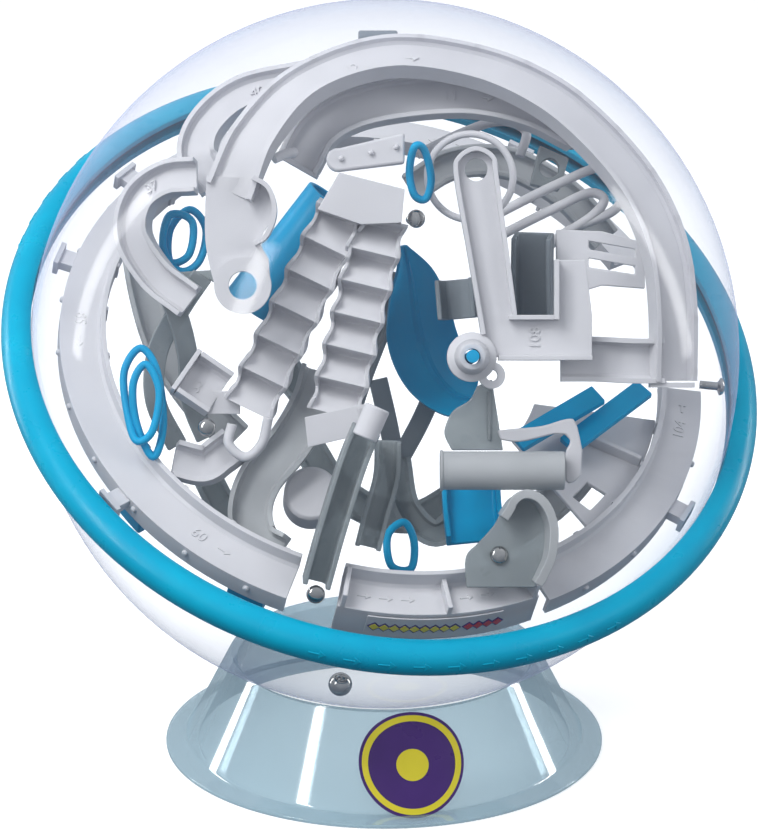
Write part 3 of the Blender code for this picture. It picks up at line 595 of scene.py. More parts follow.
# ================================================================ globe
def make_globe():
    seam = GAP / 2
    top = seam + FLANGE_WALL
    outer = [(max(r, 0), z) for r, z in arc((0, 0), GLOBE_R, 90, 1, 48)]
    inner = [(max(r, 0), z) for r, z in arc((0, 0), SHELL_INNER_R, 1, 90, 48)]
    outer[0], inner[-1] = (0, GLOBE_R), (0, SHELL_INNER_R)
    half = outer + [(GLOBE_R, top), (FLANGE_R, top), (FLANGE_R, seam), (SHELL_INNER_R, seam)]
    show("upper_shell", "clear_shell", "globe", [skin_of(half)], rounding=0)
    show("lower_shell", "clear_shell", "globe", [skin_of([(r, -z) for r, z in half])], rounding=0)

    groove = FLANGE_R + GAP
    recess = FLANGE_WALL + GAP / 2 + GAP
    bore_angle = math.degrees(math.acos((RIM_BORE_R - RIM_R) / RIM_TUBE_R))
    parting_angle = math.degrees(math.asin(RIM_PARTING / RIM_TUBE_R))
    crown = arc((RIM_R, 0), RIM_TUBE_R, bore_angle, parting_angle, 28)
    upper = crown + [(groove, RIM_PARTING), (groove, recess), (RIM_BORE_R, recess)]
    below = RIM_PARTING - GAP
    keel = arc((RIM_R, 0), RIM_TUBE_R, math.degrees(math.asin(below / RIM_TUBE_R)), -bore_angle, 18)
    lower = keel + [(RIM_BORE_R, -recess), (groove, -recess), (groove, below)]
    marks = []
    for angle in [*range(-114, -68, 5), *range(132, 153, 5)]:
        turn = math.radians(angle)
        out = Vector((math.cos(turn), math.sin(turn), 0.4)).normalized()
        right = Vector((-math.sin(turn), math.cos(turn), 0))
        place = Vector((math.cos(turn), math.sin(turn), 0)) * RIM_R + out * (RIM_TUBE_R - 0.1)
        marks.append(arrow(5.6, place, out, right))
    show("upper_rim", "rim_blue", "globe", [turned(upper, 192), *marks], rounding=0.25)
    show("lower_rim", "rim_blue", "globe", [turned(lower, 192)], rounding=0.25)


# ================================================================ ring at the equator
def ring_section(inner_r, outer_r, wall_up, skirt):
    return [
        (inner_r - WALL, wall_up),
        (inner_r, wall_up),
        (inner_r, 0.9),
        (inner_r + 0.9, 0),
        (outer_r, 0),
        (outer_r, -skirt),
        (outer_r - WALL, -skirt),
        (outer_r - WALL, -WALL),
        (inner_r - WALL, -WALL),
    ]


def ring_box(radius, height, angle, across):
    """A block at an angle on the ring: radius and height are (from, to) pairs."""
    block = box((radius[0], -across / 2, height[0]), (radius[1], across / 2, height[1]))
    block.transform(Matrix.Rotation(math.radians(angle), 4, "Z"))
    return block


def ring_place(radius, angle, height):
    """A point over the ring, and the direction of travel there."""
    turn = math.radians(angle)
    return (radius * math.cos(turn), radius * math.sin(turn), height), (-math.sin(turn), math.cos(turn), 0)


def ring_stud(radius, height, angle, size):
    turn = math.radians(angle)
    out = (math.cos(turn), math.sin(turn), 0)
    place = (radius * out[0], radius * out[1], height)
    shape = turned([(0, -1), (size, -1), (size, 0.5), (size * 0.6, 1.0), (0, 1.0)], 20)
    return placed(shape, place, out, (0, 0, 1))


def ring_track(node, start, end, tabs, numbers=()):
    steps = int((end - start) / 1.5)
    shapes = [turned(ring_section(TRACK_IN_R, TRACK_OUT_R, 5.0, 7.0), steps, start, end)]
    for angle in tabs:
        shapes.append(ring_box((TRACK_OUT_R - 1, SHELL_INNER_R - 1.0), (-4.5, -1.0), angle, 6.0))
        shapes.append(ring_box((SHELL_INNER_R - 2.6, SHELL_INNER_R - 1.0), (-5.5, 0.2), angle, 9.0))
    for k in range(int((end - start) / 12)):
        angle = start + 8 + 12 * k
        shapes.append(ring_stud(TRACK_OUT_R, -2.6, angle, 1.0))
        shapes.append(ring_box((TRACK_IN_R - 2.1, TRACK_IN_R - 1.2), (-1.0, 4.6), angle + 4, 1.6))
        shapes.append(ring_box((TRACK_IN_R - 1, TRACK_OUT_R - 1), (-4.0, -1.0), angle + 2, 1.0))
    middle = (TRACK_IN_R + TRACK_OUT_R) / 2
    for text, angle in numbers:
        place, along = ring_place(middle, angle, MARK_Z)
        shapes.append(numeral(text, 5.0, place, (0, 0, 1), along))
        place, along = ring_place(middle, angle + 5.5, MARK_Z)
        shapes.append(arrow(4.5, place, (0, 0, 1), along))
    show(node, "maze_white", "globe", shapes)


def make_ring():
    ring_track("left_ring_track", 104, 239, (128, 151, 205), (("85", 165), ("60", 220)))
    ring_track("right_ring_track", 285.2, 345, (318,), (("104", 335),))
    ring_track("rear_ring_track", 18, 96, (50,), (("32", 60),))

    section = ring_section(START_IN_R, START_OUT_R, 6.0, 13.0)
    shapes = [turned(section, 24, 247.5, 284)]
    for angle, height in ((248.4, 6.0), (267, 3.5), (283.1, 6.0)):
        shapes.append(ring_box((START_IN_R - 1, START_OUT_R), (-1.0, height), angle, WALL))
    for angle in (252, 256, 260, 271, 275):
        place, along = ring_place((START_IN_R + START_OUT_R) / 2, angle, MARK_Z)
        shapes.append(arrow(4.4, place, (0, 0, 1), along))
    show("start_tray", "maze_white", "globe", shapes)

    face = START_OUT_R + GAP
    strip = turned([(face, -11.0), (face + 0.4, -11.0), (face + 0.4, -1.5), (face, -1.5)], 24, 253, 277)
    show("start_label", "label", "globe", [strip], rounding=0, finish="maze_white")
    for finish, first, count in (("print_yellow", 254.5, 9), ("print_red", 271, 4)):
        diamonds = []
        backs = []
        for k in range(count):
            turn = math.radians(first + 1.75 * k)
            out = (math.cos(turn), math.sin(turn), 0)
            place = ((face + 0.4) * out[0], (face + 0.4) * out[1], -6.2)
            diamonds.append(placed(prism(disc(1.5, 4), -0.1, 0.35), place, out, (0, 0, 1)))
            backs.append(placed(prism(disc(2.1, 4), -0.1, 0.2), place, out, (0, 0, 1)))
        name = finish + "_diamonds"
        show("start_label", "label", "globe", diamonds, rounding=0, finish=finish, name=name)
        show("start_label", "label", "globe", backs, rounding=0, name=finish + "_outlines")

    outline = arc((0, 0), TRACK_IN_R - WALL - GAP, 302, 336, 24) + arc((0, 0), 50, 330, 310, 14)
    window = arc((0, 0), 84, 306, 312, 5) + arc((0, 0), 77, 312, 306, 5)
    plate = prism(outline, -WALL, 0, [window])
    rib = ring_box((60, TRACK_IN_R - WALL - 1), (-0.5, 4.0), 323, WALL)
    show("right_plate", "maze_white", "globe", [plate, rib])

    for node, start in (("front_blue_block", 228), ("left_blue_block", 201)):
        block = turned([(89.5, -19), (99, -19), (99, -12), (89.5, -12)], 8, start, start + 7)
        show(node, "maze_blue", "globe", [block], rounding=0.8)


# ================================================================ arched tracks
def wall_bumps(points, up, side, lift, spacing=9.0, size=1.1):
    """Small square lugs along a channel's rim."""
    route = curve_through(points, 8)
    ups = curve_through(up, 8) if isinstance(up, list) else [Vector(up)] * len(route)
    lugs = []
    walked = 0.0
    for i in range(1, len(route) - 1):
        walked += (route[i] - route[i - 1]).length
        if walked < spacing:
            continue
        walked = 0.0
        along = (route[i + 1] - route[i - 1]).normalized()
        across = along.cross(ups[i]).normalized()
        rise = across.cross(along)
        place = route[i] + across * side + rise * lift
        lug = box((-size, -size * 0.7, -size), (size, size * 0.7, size * 0.45))
        lugs.append(placed(lug, place, rise, along))
    return lugs


def make_outer_arch():
    route = [
        (-46, 47, 66), (-38, 64, 65), (-23, 79.5, 60.5), (1, 88.5, 52), (27, 86, 48), (48, 77.5, 47),
        (64, 64.5, 47), (77, 48.5, 47.5), (84.5, 31, 49), (87, 12, 49), (87, -9, 48),
    ]
    lean = [
        (-0.1, 0.1, 1), (-0.2, 0.4, 0.9), (-0.2, 0.6, 0.78), (0, 0.62, 0.78), (0.1, 0.6, 0.8),
        (0.2, 0.5, 0.84), (0.3, 0.4, 0.86), (0.35, 0.3, 0.88), (0.4, 0.15, 0.9), (0.42, 0.05, 0.9),
        (0.42, 0, 0.9),
    ]
    arch = sweep(channel(12, 2.5, 4), route, lean, 8)
    lugs = wall_bumps(route, lean, -6.8, 2.0, 14)
    run = [(84, -3, 50.2), (74, -3, 51.5), (64, -2.5, 52.6), (53, -2.5, 53)]
    trough = sweep(channel(10.5, 3.5, 3.5), run, (0.12, 0, 1), 3)
    end_wall = box((80, -11, 46.5), (93.5, -9.5, 53))
    outline = curve_outline([(-53, 52), (-53.5, 36), (-52.5, 27), (-50.5, 19)])
    outline += arc(FOOT_EYE, 8.5, 185, 350, 24)
    outline += curve_outline([(-34.5, 27), (-37, 33), (-32.5, 41), (-35, 48), (-39, 51)])
    foot = prism(outline, 64.5, 66, [arc(FOOT_EYE, 4.2, 0, 350, 35)])
    edge = [(-39, 32, 64.6), (-35.5, 34.5, 64.6), (-33.3, 41, 64.6), (-35, 47.5, 64.6), (-39.5, 50.5, 64.6)]
    flange = sweep([(0, 0), (1.4, 0), (1.4, 8), (0, 8)], edge, (0, 0, 1), 6)
    collar = turned([(4.2, 0), (8.5, 0), (8.5, 3.2), (4.2, 3.2)], 48)
    placed(collar, (*FOOT_EYE, 64.5), (0, 0, 1), (1, 0, 0))
    peg = wire([(-33, 57, 64), (-30, 58.5, 62), (-27, 59.5, 58)], 1.5, False, 6)
    marks = [numeral("32", 5, (-10, 84.4, 56.6), (-0.1, 0.61, 0.78), (1, 0.35, -0.2)), peg]
    marks.append(arrow(5, (8, 88.4, 50.9), (0, 0.62, 0.78), (1, 0, -0.1)))
    shapes = [arch, trough, end_wall, foot, flange, collar, *lugs, *marks]
    show("outer_arch_track", "maze_white", "maze", shapes)


def make_upper_tracks():
    route = [(-26, 57, 44), (-20, 67, 45), (-9, 73.5, 45), (8, 77, 43)]
    route += [(27, 78, 40), (45, 74.5, 36.5), (59, 68, 34)]
    up = (0, 0.22, 0.97)
    inner = sweep(channel(11, 3, 4.5), route, up, 10)
    lugs = wall_bumps(route, up, 6.3, 3.8, 11)
    cap = sweep(bar_section(7, -WALL, 3), [(-26, 57, 44), (-26.7, 55.8, 44)], up, 2)
    marks = [numeral("111", 4.6, (19, 78, 41.3), up, (1, 0, -0.15))]
    marks.append(arrow(5, (31, 77.6, 39.3), up, (1, -0.1, -0.2)))
    show("inner_arch_track", "maze_white", "maze", [inner, cap, *lugs, *marks])

    route = [(-24, 83, 35), (-43, 79, 32), (-54, 70, 33), (-57, 60, 35), (-51, 51, 37)]
    up = (-0.25, 0.45, 0.85)
    lugs = wall_bumps(route, up, 5.3, 2.4, 13)
    marks = [numeral("40", 4.6, (-39, 80, 33), up, (0.95, 0.28, 0.1))]
    show("upper_left_track", "maze_white", "maze", [sweep(channel(9, 3, 3), route, up, 10), *lugs, *marks])

    route = [(-57, 53, 46), (-66, 52, 44), (-74, 46, 43), (-76, 35, 42), (-69, 23, 42), (-59, 15, 44)]
    up = (-0.35, 0.2, 0.9)
    lugs = wall_bumps(route, up, -4.8, 2.8, 13)
    marks = [numeral("37", 4.4, (-71, 50, 44), up, (0.9, 0.4, 0))]
    show("left_lobe_track", "maze_white", "maze", [sweep(channel(8, 3.5, 3.5), route, up, 10), *lugs, *marks])

    slab = arc((-14, 57.3), 3.5, 80, 280, 14) + [(6, 56.2), (6, 65.3)]
    pegs = [rod((x, y, 58.5), (x, y, 60.4), 0.9) for x, y in ((-13, 57.5), (-4, 59.3), (3.5, 61))]
    show("cross_bar", "maze_white", "maze", [prism(slab, 53, 59), *pegs], rounding=1.2)
    show("top_knob", "maze_dark", "maze", [rod((-8, 95.5, 41.5), (4, 95.5, 41.5), 2.4)], rounding=0.7)
    hoop = [(26 + x, 53 + y, 46) for x, y in disc(13, 24)]
    show("catch_hoop", "maze_white", "maze", [wire(hoop, 1.1, True, 4, 14)], rounding=0)


# ================================================================ stairs
def between(table, t):
    """The value at t, on straight lines through the table's (t, value) pairs."""
    for (t0, v0), (t1, v1) in zip(table, table[1:]):
        if t <= t1:
            return v0 + (v1 - v0) * ((t - t0) / (t1 - t0))
    return table[-1][1]


def flight(top, bottom, steps, width, depth):
    """A stair moulded as one block: scooped steps between low pointed fins."""
    top, bottom = Vector(top), Vector(bottom)
    run = bottom - top
    along = run.normalized()
    side = along.cross(Vector((0, 0, 1))).normalized()
    lift = side.cross(along)
    half = width / 2
    right_side = [half * 0.25, half * 0.6, half - 0.3, half, half + 1.1]
    across = [-reach for reach in reversed(right_side)] + right_side
    rings = []
    for i in range(steps * STEP_ROWS + 1):
        t = (i / STEP_ROWS) % 1
        here = top + run * (i / (STEP_ROWS * steps))
        waist = 1.04 - 0.15 * math.sin(math.pi * t) ** 2
        base = here - lift * depth
        ring = [base + side * across[-1] * waist, base + side * across[0] * waist]
        for reach in across:
            offset = reach * waist
            scoop = 1 - 0.1 * (offset / half) ** 2
            height = between(TREAD, t) * scoop if abs(reach) < half else between(FIN, t)
            ring.append(here + side * offset + lift * height)
        rings.append(ring)
    return loft(rings)


def make_stairs():
    left = flight((-13, 41, 62), (-41.5, -17.5, 47.5), 6, 13.5, 9.5)
    right = flight((-1.2, 39, 62), (-15.2, -19, 56), 6, 14, 9.5)
    head = prism([(-13.5, 53), (6, 48), (5, 38), (-7, 37.5), (-20, 42)], 51, 64.5)
    landing = prism([(-24, -20), (-6, -16), (-6, -25), (-23, -29)], 46, 57)
    show("twin_stairs", "maze_white", "maze", [head, left, right, landing], rounding=0.45)


# ================================================================ small pieces
def make_rivet(node, place, axis=(0, 0, 1), body="globe"):
    profile = [(0, 0), (1.2, -0.08), (2.1, -0.4), (2.65, -0.95), (2.8, -1.6), (1.3, -2.4), (1.3, -8), (0, -8)]
    pin = placed(turned(profile, 40), place, axis, (0, 1, 0.1))
    show(node, "steel", "maze", [pin], rounding=0, body=body)


def make_left_pieces():
    up = (0.1, 0.3, 1)
    tray = sweep(channel(12, 5, 5), [(-60, -7, 45), (-50.5, -13.5, 44)], up, 2)
    end_wall = sweep(bar_section(7.5, -WALL, 5), [(-61.2, -6.2, 45), (-60, -7, 45)], up, 2)
    apron = prism([(-58, -15), (-54, -19), (-44, -19), (-44, -12), (-53, -12)], 41, 44.2)
    mark = numeral("55", 4.2, (-57, -10.5, 44.8), up, (0.5, 0.86, -0.3))
    show("stair_tray", "maze_white", "maze", [tray, end_wall, apron, mark])
    loop = [(-46, -22, 52), (-47, -28, 52), (-42, -32, 52), (-37, -28, 53), (-35, -20, 54)]
    show("return_loop", "maze_white", "maze", [wire(loop, 1.5, False, 10)], rounding=0.3)

    rail = [(0, 0), (6.5, 0), (6.5, 1.6), (0, 1.6)]
    route = [(-53, 22, 37), (-60, 12, 34), (-67, 0, 28), (-68, -14, 25), (-62, -27, 20)]
    long_rail = sweep(rail, route, (0.3, 0, 1), 10)
    route = [(-66, 24, 36), (-61, 13, 34), (-58, 0, 28), (-57, -14, 22), (-53, -25, 18)]
    short_rail = sweep(rail, route, (0.3, 0, 1), 10)
    clip_ends = ((-69.5, 22.5), (-51.5, 23.5))
    clip = [rod((x, y, 33), (x, y, 40.5), 2.3) for x, y in clip_ends]
    clip.append(sweep(bar_section(1.6, -1.2, 1.2), [(x, y, 37) for x, y in clip_ends], (0, 0, 1), 1))
    show("fork_rails", "maze_grey", "maze", [long_rail, short_rail, *clip])

    coil = [(-79, -6, 46), (-74, 1, 46), (-69, -6, 47), (-67, -22, 48), (-70, -32, 49), (-75, -22, 49)]
    coil += [(-76, -10, 50), (-72, -4, 51), (-68, -12, 52), (-70, -24, 52), (-75, -27, 51), (-78, -18, 48)]
    show("left_wire_loops", "maze_blue", "maze", [wire(coil, 1.2, True)], rounding=0)
    coil = [(-66, 38, 30), (-60, 44, 30), (-55, 38, 31), (-57, 28, 32), (-63, 25, 32), (-68, 32, 33)]
    coil += [(-66, 42, 34), (-59, 40, 35), (-60, 30, 34), (-66, 28, 31)]
    show("upper_wire_loops", "maze_blue", "maze", [wire(coil, 1.2, True)], rounding=0)
    show("rear_blue_tube", "maze_blue", "maze", [rod((-16.5, 48, 22), (-42.5, 15, 14), 8.4, 6.9)])

    route = [(-18.9, -6, 33.8), (-22, -16, 36.3), (-29, -28, 38.5), (-38, -39, 38.5)]
    route += [(-41, -49, 39), (-38.5, -58, 42), (-32.5, -62, 46)]
    show("hook_trough", "maze_pale", "maze", [sweep(channel(10.5, 4, 4), route, (0, 0.1, 1), 10)])
    stop = turned([(0, 12.5), (7, 12.5), (7, 0), (8.5, 0), (8.5, 13), (7.5, 14), (0, 14)], 64)
    show("round_stop", "maze_white", "maze", [placed(stop, (-23, -46.5, 23), (0.05, 0.25, 1), (1, 0, 0))])
    route = [(-64, -33, 44), (-55, -35, 42), (-50, -32, 41), (-46, -29, 39)]
    track = sweep(channel(8.5, 3.5, 3.5), route, (-0.1, 0.3, 0.95), 10)
    show("low_left_track", "maze_white", "maze", [track])


def leaf(points, up, widths):
    """A hollowed blade of varying width, with a rib along its middle."""
    route = curve_through(points, 10)
    ups = curve_through(up, 10)
    wide = [v.x for v in curve_through([(w, 0, 0) for w in widths], 10)]
    rings = []
    for i, here in enumerate(route):
        along = (route[min(i + 1, len(route) - 1)] - route[max(i - 1, 0)]).normalized()
        side = along.cross(ups[i]).normalized()
        lift = side.cross(along)
        half = wide[i] / 2
        spread = [k / 8 for k in range(-8, 9)]
        dip = [half * 0.42 * u * u + (0.9 if u == 0 else 0) for u in spread]
        top = [here + side * half * u + lift * d for u, d in zip(spread, dip)]
        under = [here + side * half * u + lift * (half * 0.42 * u * u - LEAF_WALL) for u in reversed(spread)]
        rings.append(top + under)
    return loft(rings)


def make_centre_pieces():
    route = [(-20.5, -69, 62), (-16, -53, 66), (-10, -34, 68), (-5.5, -23, 69)]
    ticks = wall_bumps(route, (0.1, 0, 1), 3.4, 5.4, 5, 0.6)
    show("smoke_arm", "maze_grey", "maze", [sweep(channel(5.5, 6, 6), route, (0.1, 0, 1), 10), *ticks])
    route = [(-5, -59, 55), (-2.5, -49, 56), (0.5, -38, 57), (1, -27, 58)]
    show("smoke_trough", "maze_grey", "maze", [sweep(channel(5, 4, 4), route, (0, 0, 1), 10)])
    show("arm_roller", "maze_white", "maze", [rod((-6, -26, 80.5), (-2, -17, 80.5), 3.8)], rounding=0.6)

    route = [(4, -33, 18), (7, -48, 18), (16, -56, 19), (25, -48, 18), (28, -36, 17)]
    show("centre_trough", "maze_grey", "maze", [sweep(channel(5.5, 4, 4), route, (0, 0, 1), 10)])
    section = bar_section(3, -1, 1)
    right_leg = sweep(section, [(16, -11, 6), (11, -22, 8), (5, -33, 9)], (0, 0, 1))
    left_leg = sweep(section, [(-2, -8, 6), (1, -21, 8), (3.5, -34, 9)], (0, 0, 1))
    show("centre_legs", "maze_dark", "maze", [right_leg, left_leg])
    route = [(26.5, -39, 27), (27, -49, 30), (28, -58, 35)]
    show("blue_chute", "maze_blue", "maze", [sweep(channel(15, 5, 5), route, (0, 0.3, 1), 6)])
    loop = [(1, -56, 42), (6, -52, 42), (9, -58, 42), (8, -66, 44), (2, -65, 44)]
    show("low_wire_loop", "maze_blue", "maze", [wire(loop, 1.2, True)], rounding=0)
    loop = [(9, 61, 60), (7.5, 54, 55), (9, 47, 53), (12.5, 46, 52), (14, 52, 54), (12, 60, 58)]
    show("hanging_wire_loop", "maze_blue", "maze", [wire(loop, 1.2, True)], rounding=0)

    shaft = rod((*HUB_AT, 15), (*HUB_AT, 76), AXLE_R)
    route = [(6, 33, 26), (8, 24, 23), (9.5, 14, 20), (11.5, 4, 17)]
    route += [(15.5, -6, 16), (22, -13, 17), (28, -14.5, 18)]
    lean = [(0.5, 0.2, 0.8), (0.35, 0.25, 0.9), (0.15, 0.3, 0.95), (0, 0.3, 1)]
    lean += [(0, 0.3, 1), (-0.1, 0.4, 1), (-0.2, 0.4, 1)]
    widths = [2, 14, 20, 22, 21, 17, 12]
    show("turning_scoop", "maze_blue", "maze", [leaf(route, lean, widths), shaft], body="scoop")


def make_right_pieces():
    head = (27.3, 54)
    outline = [(29, 3), (32, -2), (62, -2), (62, 10.5), (60, 27), (50.5, 27), (50.5, 10.5), (39.5, 10.5)]
    outline += arc(head, 6.8, -12, 192, 30)
    post = prism(outline, 60, 61.5, [arc(head, 3.4, 0, 350, 35)])
    edge = [(28.8, 4.5, 60), (24.8, 28, 60), (20.7, 52, 60), (21.8, 58, 60), (27.3, 60.8, 60)]
    edge += [(32.8, 58, 60), (33.9, 52, 60), (36.9, 30, 60), (39.5, 10.5, 60)]
    side_wall = sweep([(0, 0), (1.4, 0), (1.4, 5), (0, 5)], edge, (0, 0, 1), 8)
    foot_wall = box((37, 9.1, 60), (51, 10.5, 65))
    toe_wall = box((34, -3, 58), (62, -1.6, 64.5))
    end_wall = box((50.5, 9.1, 60), (52, 27, 66))
    bore = AXLE_R + 0.4
    hub = turned([(bore, 0), (7.4, 0), (7.4, 6), (5.2, 7), (5.2, 11), (3.8, 13), (bore, 13)], 64)
    placed(hub, (*HUB_AT, 58), (0, 0, 1), (1, 0, 0))
    ear = placed(turned([(1.7, 0), (4.0, 0), (4.0, 5), (1.7, 5)], 36), (32, -7.5, 59), (0, 0, 1), (1, 0, 0))
    mark = numeral("108", 4.6, (45, 3.8, 61.6), (0, 0, 1), (0, 1, 0))
    shapes = [post, side_wall, foot_wall, toe_wall, end_wall, hub, ear, mark]
    show("keyhole_track", "maze_white", "maze", shapes)

    tube = rod((17, -36, 57), (54, -36, 57), 5.8, 4.7, 56)
    lip = rod((16.6, -36, 57), (17.6, -36, 57), 6.2, 4.7, 56)
    show("ball_tube", "maze_pale", "maze", [tube, lip])
    edge = [(28, -10.6), (25.7, -14.8), (20.9, -17.9), (18.8, -21.7), (18.2, -25.4), (20.4, -30)]
    outline = curve_outline(edge) + [(35.9, -30), (32.5, -8.5)]
    ridge = box((31.2, -27, 48), (32.2, -12, 49.4))
    show("hub_plate", "maze_grey", "maze", [prism(outline, 46.5, 48.5), ridge])
    outer_edge = [(34, -24), (38.5, -23.5), (47.6, -22.6), (55, -20.5), (57.7, -21.7), (59.7, -30)]
    hook = [(59.2, -37.5), (57, -39.6), (54.6, -39), (54.6, -31), (56, -27.4), (54.6, -25.2)]
    inner_edge = [(51.3, -25), (41, -27.4), (35, -26.8)]
    outline = curve_outline(outer_edge) + curve_outline(hook) + curve_outline(inner_edge)
    show("tube_hanger", "maze_white", "maze", [prism(outline, 50, 52.5)], rounding=0.7)
    crest = [(34, -49, 59), (37.5, -44.2, 59), (42, -43, 59), (46.5, -45.8, 59), (49.3, -52.4, 59)]
    crest += [(49, -61, 60), (46.7, -67, 60), (45.3, -69.6, 60)]
    up = (0.25, 0.1, 1)
    wall = sweep([(0, -1), (1.5, -1), (1.5, 7), (0, 7)], crest, up, 8)
    rim = sweep([(-0.6, 6.2), (2.2, 6.2), (2.2, 7.4), (-0.6, 7.4)], crest, up, 8)
    show("dome_scoop", "maze_pale", "maze", [wall, rim])
    left_edge = [(24.5, -71), (24.3, -62), (28.2, -57.5), (33, -52), (36.5, -45.2), (42, -43.4)]
    right_edge = [(46.5, -46.2), (48.8, -53), (48.5, -62), (45, -71)]
    outline = curve_outline(left_edge) + curve_outline(right_edge)
    show("dome_scoop", "maze_grey", "maze", [prism(outline, 57.6, 59)], name="dome_sheet")

    for node, ends in (
        ("lower_blue_bar", [(41, -28, 24), (67, -13, 14)]),
        ("upper_blue_bar", [(57, -29, 19), (82, -11, 6)]),
    ):
        show(node, "maze_blue", "maze", [sweep(bar_section(3.5, -1.2, 1.2), ends, (0, 0.6, 0.8), 1)])

    outer = [(29, 39, 37), (38, 44, 36), (54, 52, 34), (67, 57, 32)]
    outer += [(74, 53, 31), (71, 44, 32), (56, 37, 34), (48, 30, 36)]
    inner = [(31, 33, 37), (40, 38, 36), (54, 45, 34), (63, 49, 32)]
    inner += [(67.5, 47, 32), (64, 42, 33), (54, 35.5, 34.5)]
    rails = [wire(points, 1.5, False, 10) for points in (outer, inner)]
    show("twin_wire_rails", "maze_white", "maze", rails, rounding=0.3)
    rail = [(10, 61, 28), (24, 68, 26), (36, 72, 22), (44, 69, 20), (42, 61, 22)]
    show("top_wire_rail", "maze_white", "maze", [wire(rail, 1.5, False, 10)], rounding=0.3)

    outline = [(52, 37), (66, 36.5), (79, 33), (79, 19), (66, 20), (59.5, 18), (59, 7), (52, 7)]
    slots = [[(62, 33.5), (76, 31), (76, 28.6), (62, 31)], [(62, 28.3), (76, 25.8), (76, 23.4), (62, 25.6)]]
    ribs = prism(outline, 44.5, 46, slots)
    show("rib_bridge", "maze_white", "maze", [ribs])
    route = [(45.5, 36, 44), (45.5, 24, 41), (46, 9, 38)]
    show("dark_chute", "maze_dark", "maze", [sweep(channel(9, 9, 9), route, (-0.15, 0, 1), 8)])
    housing = sweep(channel(9, 8, 8), [(23, 22, 44), (24, 10, 44)], (-0.3, 0, 1), 2)
    show("dark_housing", "maze_dark", "maze", [housing])
    block = prism([(45, 52), (54, 50), (57, 60), (48, 64)], 20, 28, [arc((51, 57), 3, 0, 340, 17)])
    show("rail_block", "maze_grey", "maze", [block])


def make_rear_tracks():
    """Stretches of track at the back of the maze, seen between the pieces in front of them."""
    up = (0.1, 0.1, 1)
    left = [(-78, 36, 6), (-75, 18, 4), (-70, 2, 2), (-60, -14, 0), (-47, -27, 0)]
    low_left = [(-58, -35, 2), (-52, -47, 0), (-43, -59, -2), (-33, -68, -2)]
    low_right = [(30, -60, -8), (44, -54, -10), (58, -43, -10), (69, -28, -8)]
    upper = [(8, 52, 6), (22, 60, 4), (40, 60, 2), (58, 50, 0), (70, 36, 0)]
    middle = [(-36, 6, -4), (-28, -10, -6), (-16, -20, -6), (-4, -22, -4)]
    low = [(-24, -30, -4), (-16, -42, -6), (-4, -50, -8), (10, -52, -10), (22, -46, -10)]
    stair = [(2, 26, 8), (-2, 10, 6), (-8, -6, 4), (-12, -18, 2)]
    for name, slot, width, walls, route in (
        ("rear_left_run", "maze_pale", 8, 4, left),
        ("rear_low_left_run", "maze_grey", 6, 4, low_left),
        ("rear_low_right_run", "maze_pale", 9, 3, low_right),
        ("rear_upper_run", "maze_pale", 7, 3, upper),
        ("rear_middle_run", "maze_grey", 6, 5, middle),
        ("rear_low_run", "maze_grey", 7, 4, low),
        ("rear_stair_run", "maze_dark", 6, 4, stair),
    ):
        shape = sweep(channel(width, walls, walls), route, up, 10)
        lugs = wall_bumps(route, up, width / 2 + 0.8, walls - 0.8, 12)
        show(None, slot, "maze", [shape, *lugs], name=name)


def make_ball_and_pins():
    low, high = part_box("steel_ball")
    middle = (Vector(low) + Vector(high)) / 2
    radius = (high[2] - low[2]) / 2
    bm = bmesh.new()
    bmesh.ops.create_uvsphere(bm, u_segments=48, v_segments=24, radius=radius / MM)
    bm.transform(Matrix.Translation(middle / MM))
    show("steel_ball", "steel", "stand", [bm], rounding=0, body="ball")

    make_rivet("stair_rivet", (-54, -23, 54), (-0.2, 0, 1))
    make_rivet("arm_rivet", (-20.5, -73, 68), (0, -0.2, 1))
    make_rivet("dome_rivet", (34.5, -61.3, 60.8), (0.1, 0, 1))
    make_rivet("housing_rivet", (10, 40, 52), (0.3, 0, 1))
    make_rivet("block_rivet", (58, 66, 24), (0.2, 0.2, 1))
    tilt_axis = (0.995, -0.096, 0)
    make_rivet("tilt_pin", Vector(tilt_axis).normalized() * 108.5, tilt_axis, "pin")


# ================================================================ camera and light
def make_floor():
    """A round pale floor under the stand. It takes shadows, but doesn't light the object from below."""
    n = Nodes("pale_floor")
    matt = n.add("ShaderNodeBsdfDiffuse")
    n.link(n.tint(n.spread(n.noise(6.0), 0, 1), (0.80, 0.81, 0.82), (0.84, 0.85, 0.86)), matt.inputs["Color"])
    glow = n.add("ShaderNodeEmission", Color=(1, 1, 1, 1), Strength=FLOOR_GLOW)
    both = n.add("ShaderNodeAddShader")
    n.link(matt.outputs[0], both.inputs[0])
    n.link(glow.outputs[0], both.inputs[1])
    n.link(both.outputs[0], n.out.inputs["Surface"])
    bm = bmesh.new()
    bmesh.ops.create_circle(bm, cap_ends=True, segments=96, radius=FLOOR_R)
    floor = linked("floor", mesh_of(bm, "floor"))
    floor.data.materials.append(n.material)
    floor.location.z = CAD_BOX[0][2] - FLOOR_GAP
    floor.visible_diffuse = False
    floor.visible_glossy = False


def make_camera():
    camera = bpy.data.cameras.new("camera")
    holder = linked("camera", camera)
    look = Vector((0, math.cos(CAMERA_PITCH), -math.sin(CAMERA_PITCH)))
    target = CENTRE + Vector(CAMERA_AIM) * MM
    holder.location = target - look * CAMERA_DISTANCE
    holder.rotation_euler = look.to_track_quat("-Z", "Y").to_euler()
    camera.lens = CAMERA_LENS
    camera.sensor_width = 36
    camera.clip_end = 20
    bpy.context.scene.camera = holder


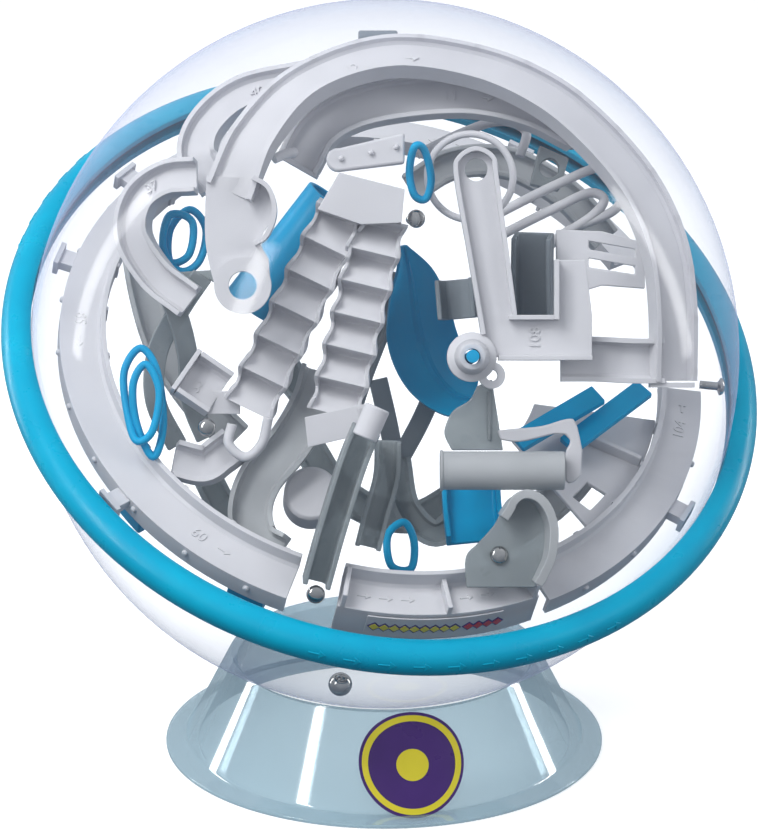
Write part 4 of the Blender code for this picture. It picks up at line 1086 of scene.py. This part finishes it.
def area_light(name, place, width, height, power, mirrored):
    """A softbox facing the globe."""
    light = bpy.data.lights.new(name, "AREA")
    light.shape = "RECTANGLE"
    light.size = width
    light.size_y = height
    light.energy = power
    holder = linked(name, light)
    holder.visible_glossy = mirrored
    holder.location = place
    holder.rotation_euler = (CENTRE - Vector(place)).to_track_quat("-Z", "Y").to_euler()


def make_world():
    """White past the object; for what it lights and mirrors, a soft sky that is greyer low down."""
    world = bpy.data.worlds.new("world")
    world.use_nodes = True
    tree = world.node_tree
    tree.nodes.clear()

    def sky(low, high, strength):
        ramp = tree.nodes.new("ShaderNodeValToRGB")
        ramp.color_ramp.elements[0].color = (*low, 1)
        ramp.color_ramp.elements[1].color = (*high, 1)
        tree.links.new(rise.outputs["Result"], ramp.inputs["Fac"])
        shade = tree.nodes.new("ShaderNodeBackground")
        shade.inputs["Strength"].default_value = strength
        tree.links.new(ramp.outputs["Color"], shade.inputs["Color"])
        return shade.outputs[0]

    def either(choice, no, yes):
        mix = tree.nodes.new("ShaderNodeMixShader")
        for source, target in ((choice, 0), (no, 1), (yes, 2)):
            tree.links.new(source, mix.inputs[target])
        return mix.outputs[0]

    out = tree.nodes.new("ShaderNodeOutputWorld")
    split = tree.nodes.new("ShaderNodeSeparateXYZ")
    tree.links.new(tree.nodes.new("ShaderNodeTexCoord").outputs["Generated"], split.inputs[0])
    rise = tree.nodes.new("ShaderNodeMapRange")
    rise.inputs["From Min"].default_value = -1
    tree.links.new(split.outputs["Z"], rise.inputs["Value"])
    ray = tree.nodes.new("ShaderNodeLightPath")
    lighting = sky((0.15, 0.18, 0.22), (0.85, 0.9, 1.0), 0.48)
    mirrored = sky((0.12, 0.16, 0.22), (0.8, 0.84, 0.9), 0.8)
    white = sky((1, 1, 1), (1, 1, 1), 1)
    indirect = either(ray.outputs["Is Glossy Ray"], lighting, mirrored)
    tree.links.new(either(ray.outputs["Is Camera Ray"], indirect, white), out.inputs["Surface"])
    bpy.context.scene.world = world


make_stand()
make_globe()
make_ring()
make_outer_arch()
make_upper_tracks()
make_stairs()
make_left_pieces()
make_centre_pieces()
make_right_pieces()
make_rear_tracks()
make_ball_and_pins()
make_floor()
make_camera()
make_world()
for softbox in LIGHTS:
    area_light(*softbox)
bpy.context.scene.view_settings.view_transform = "Standard"
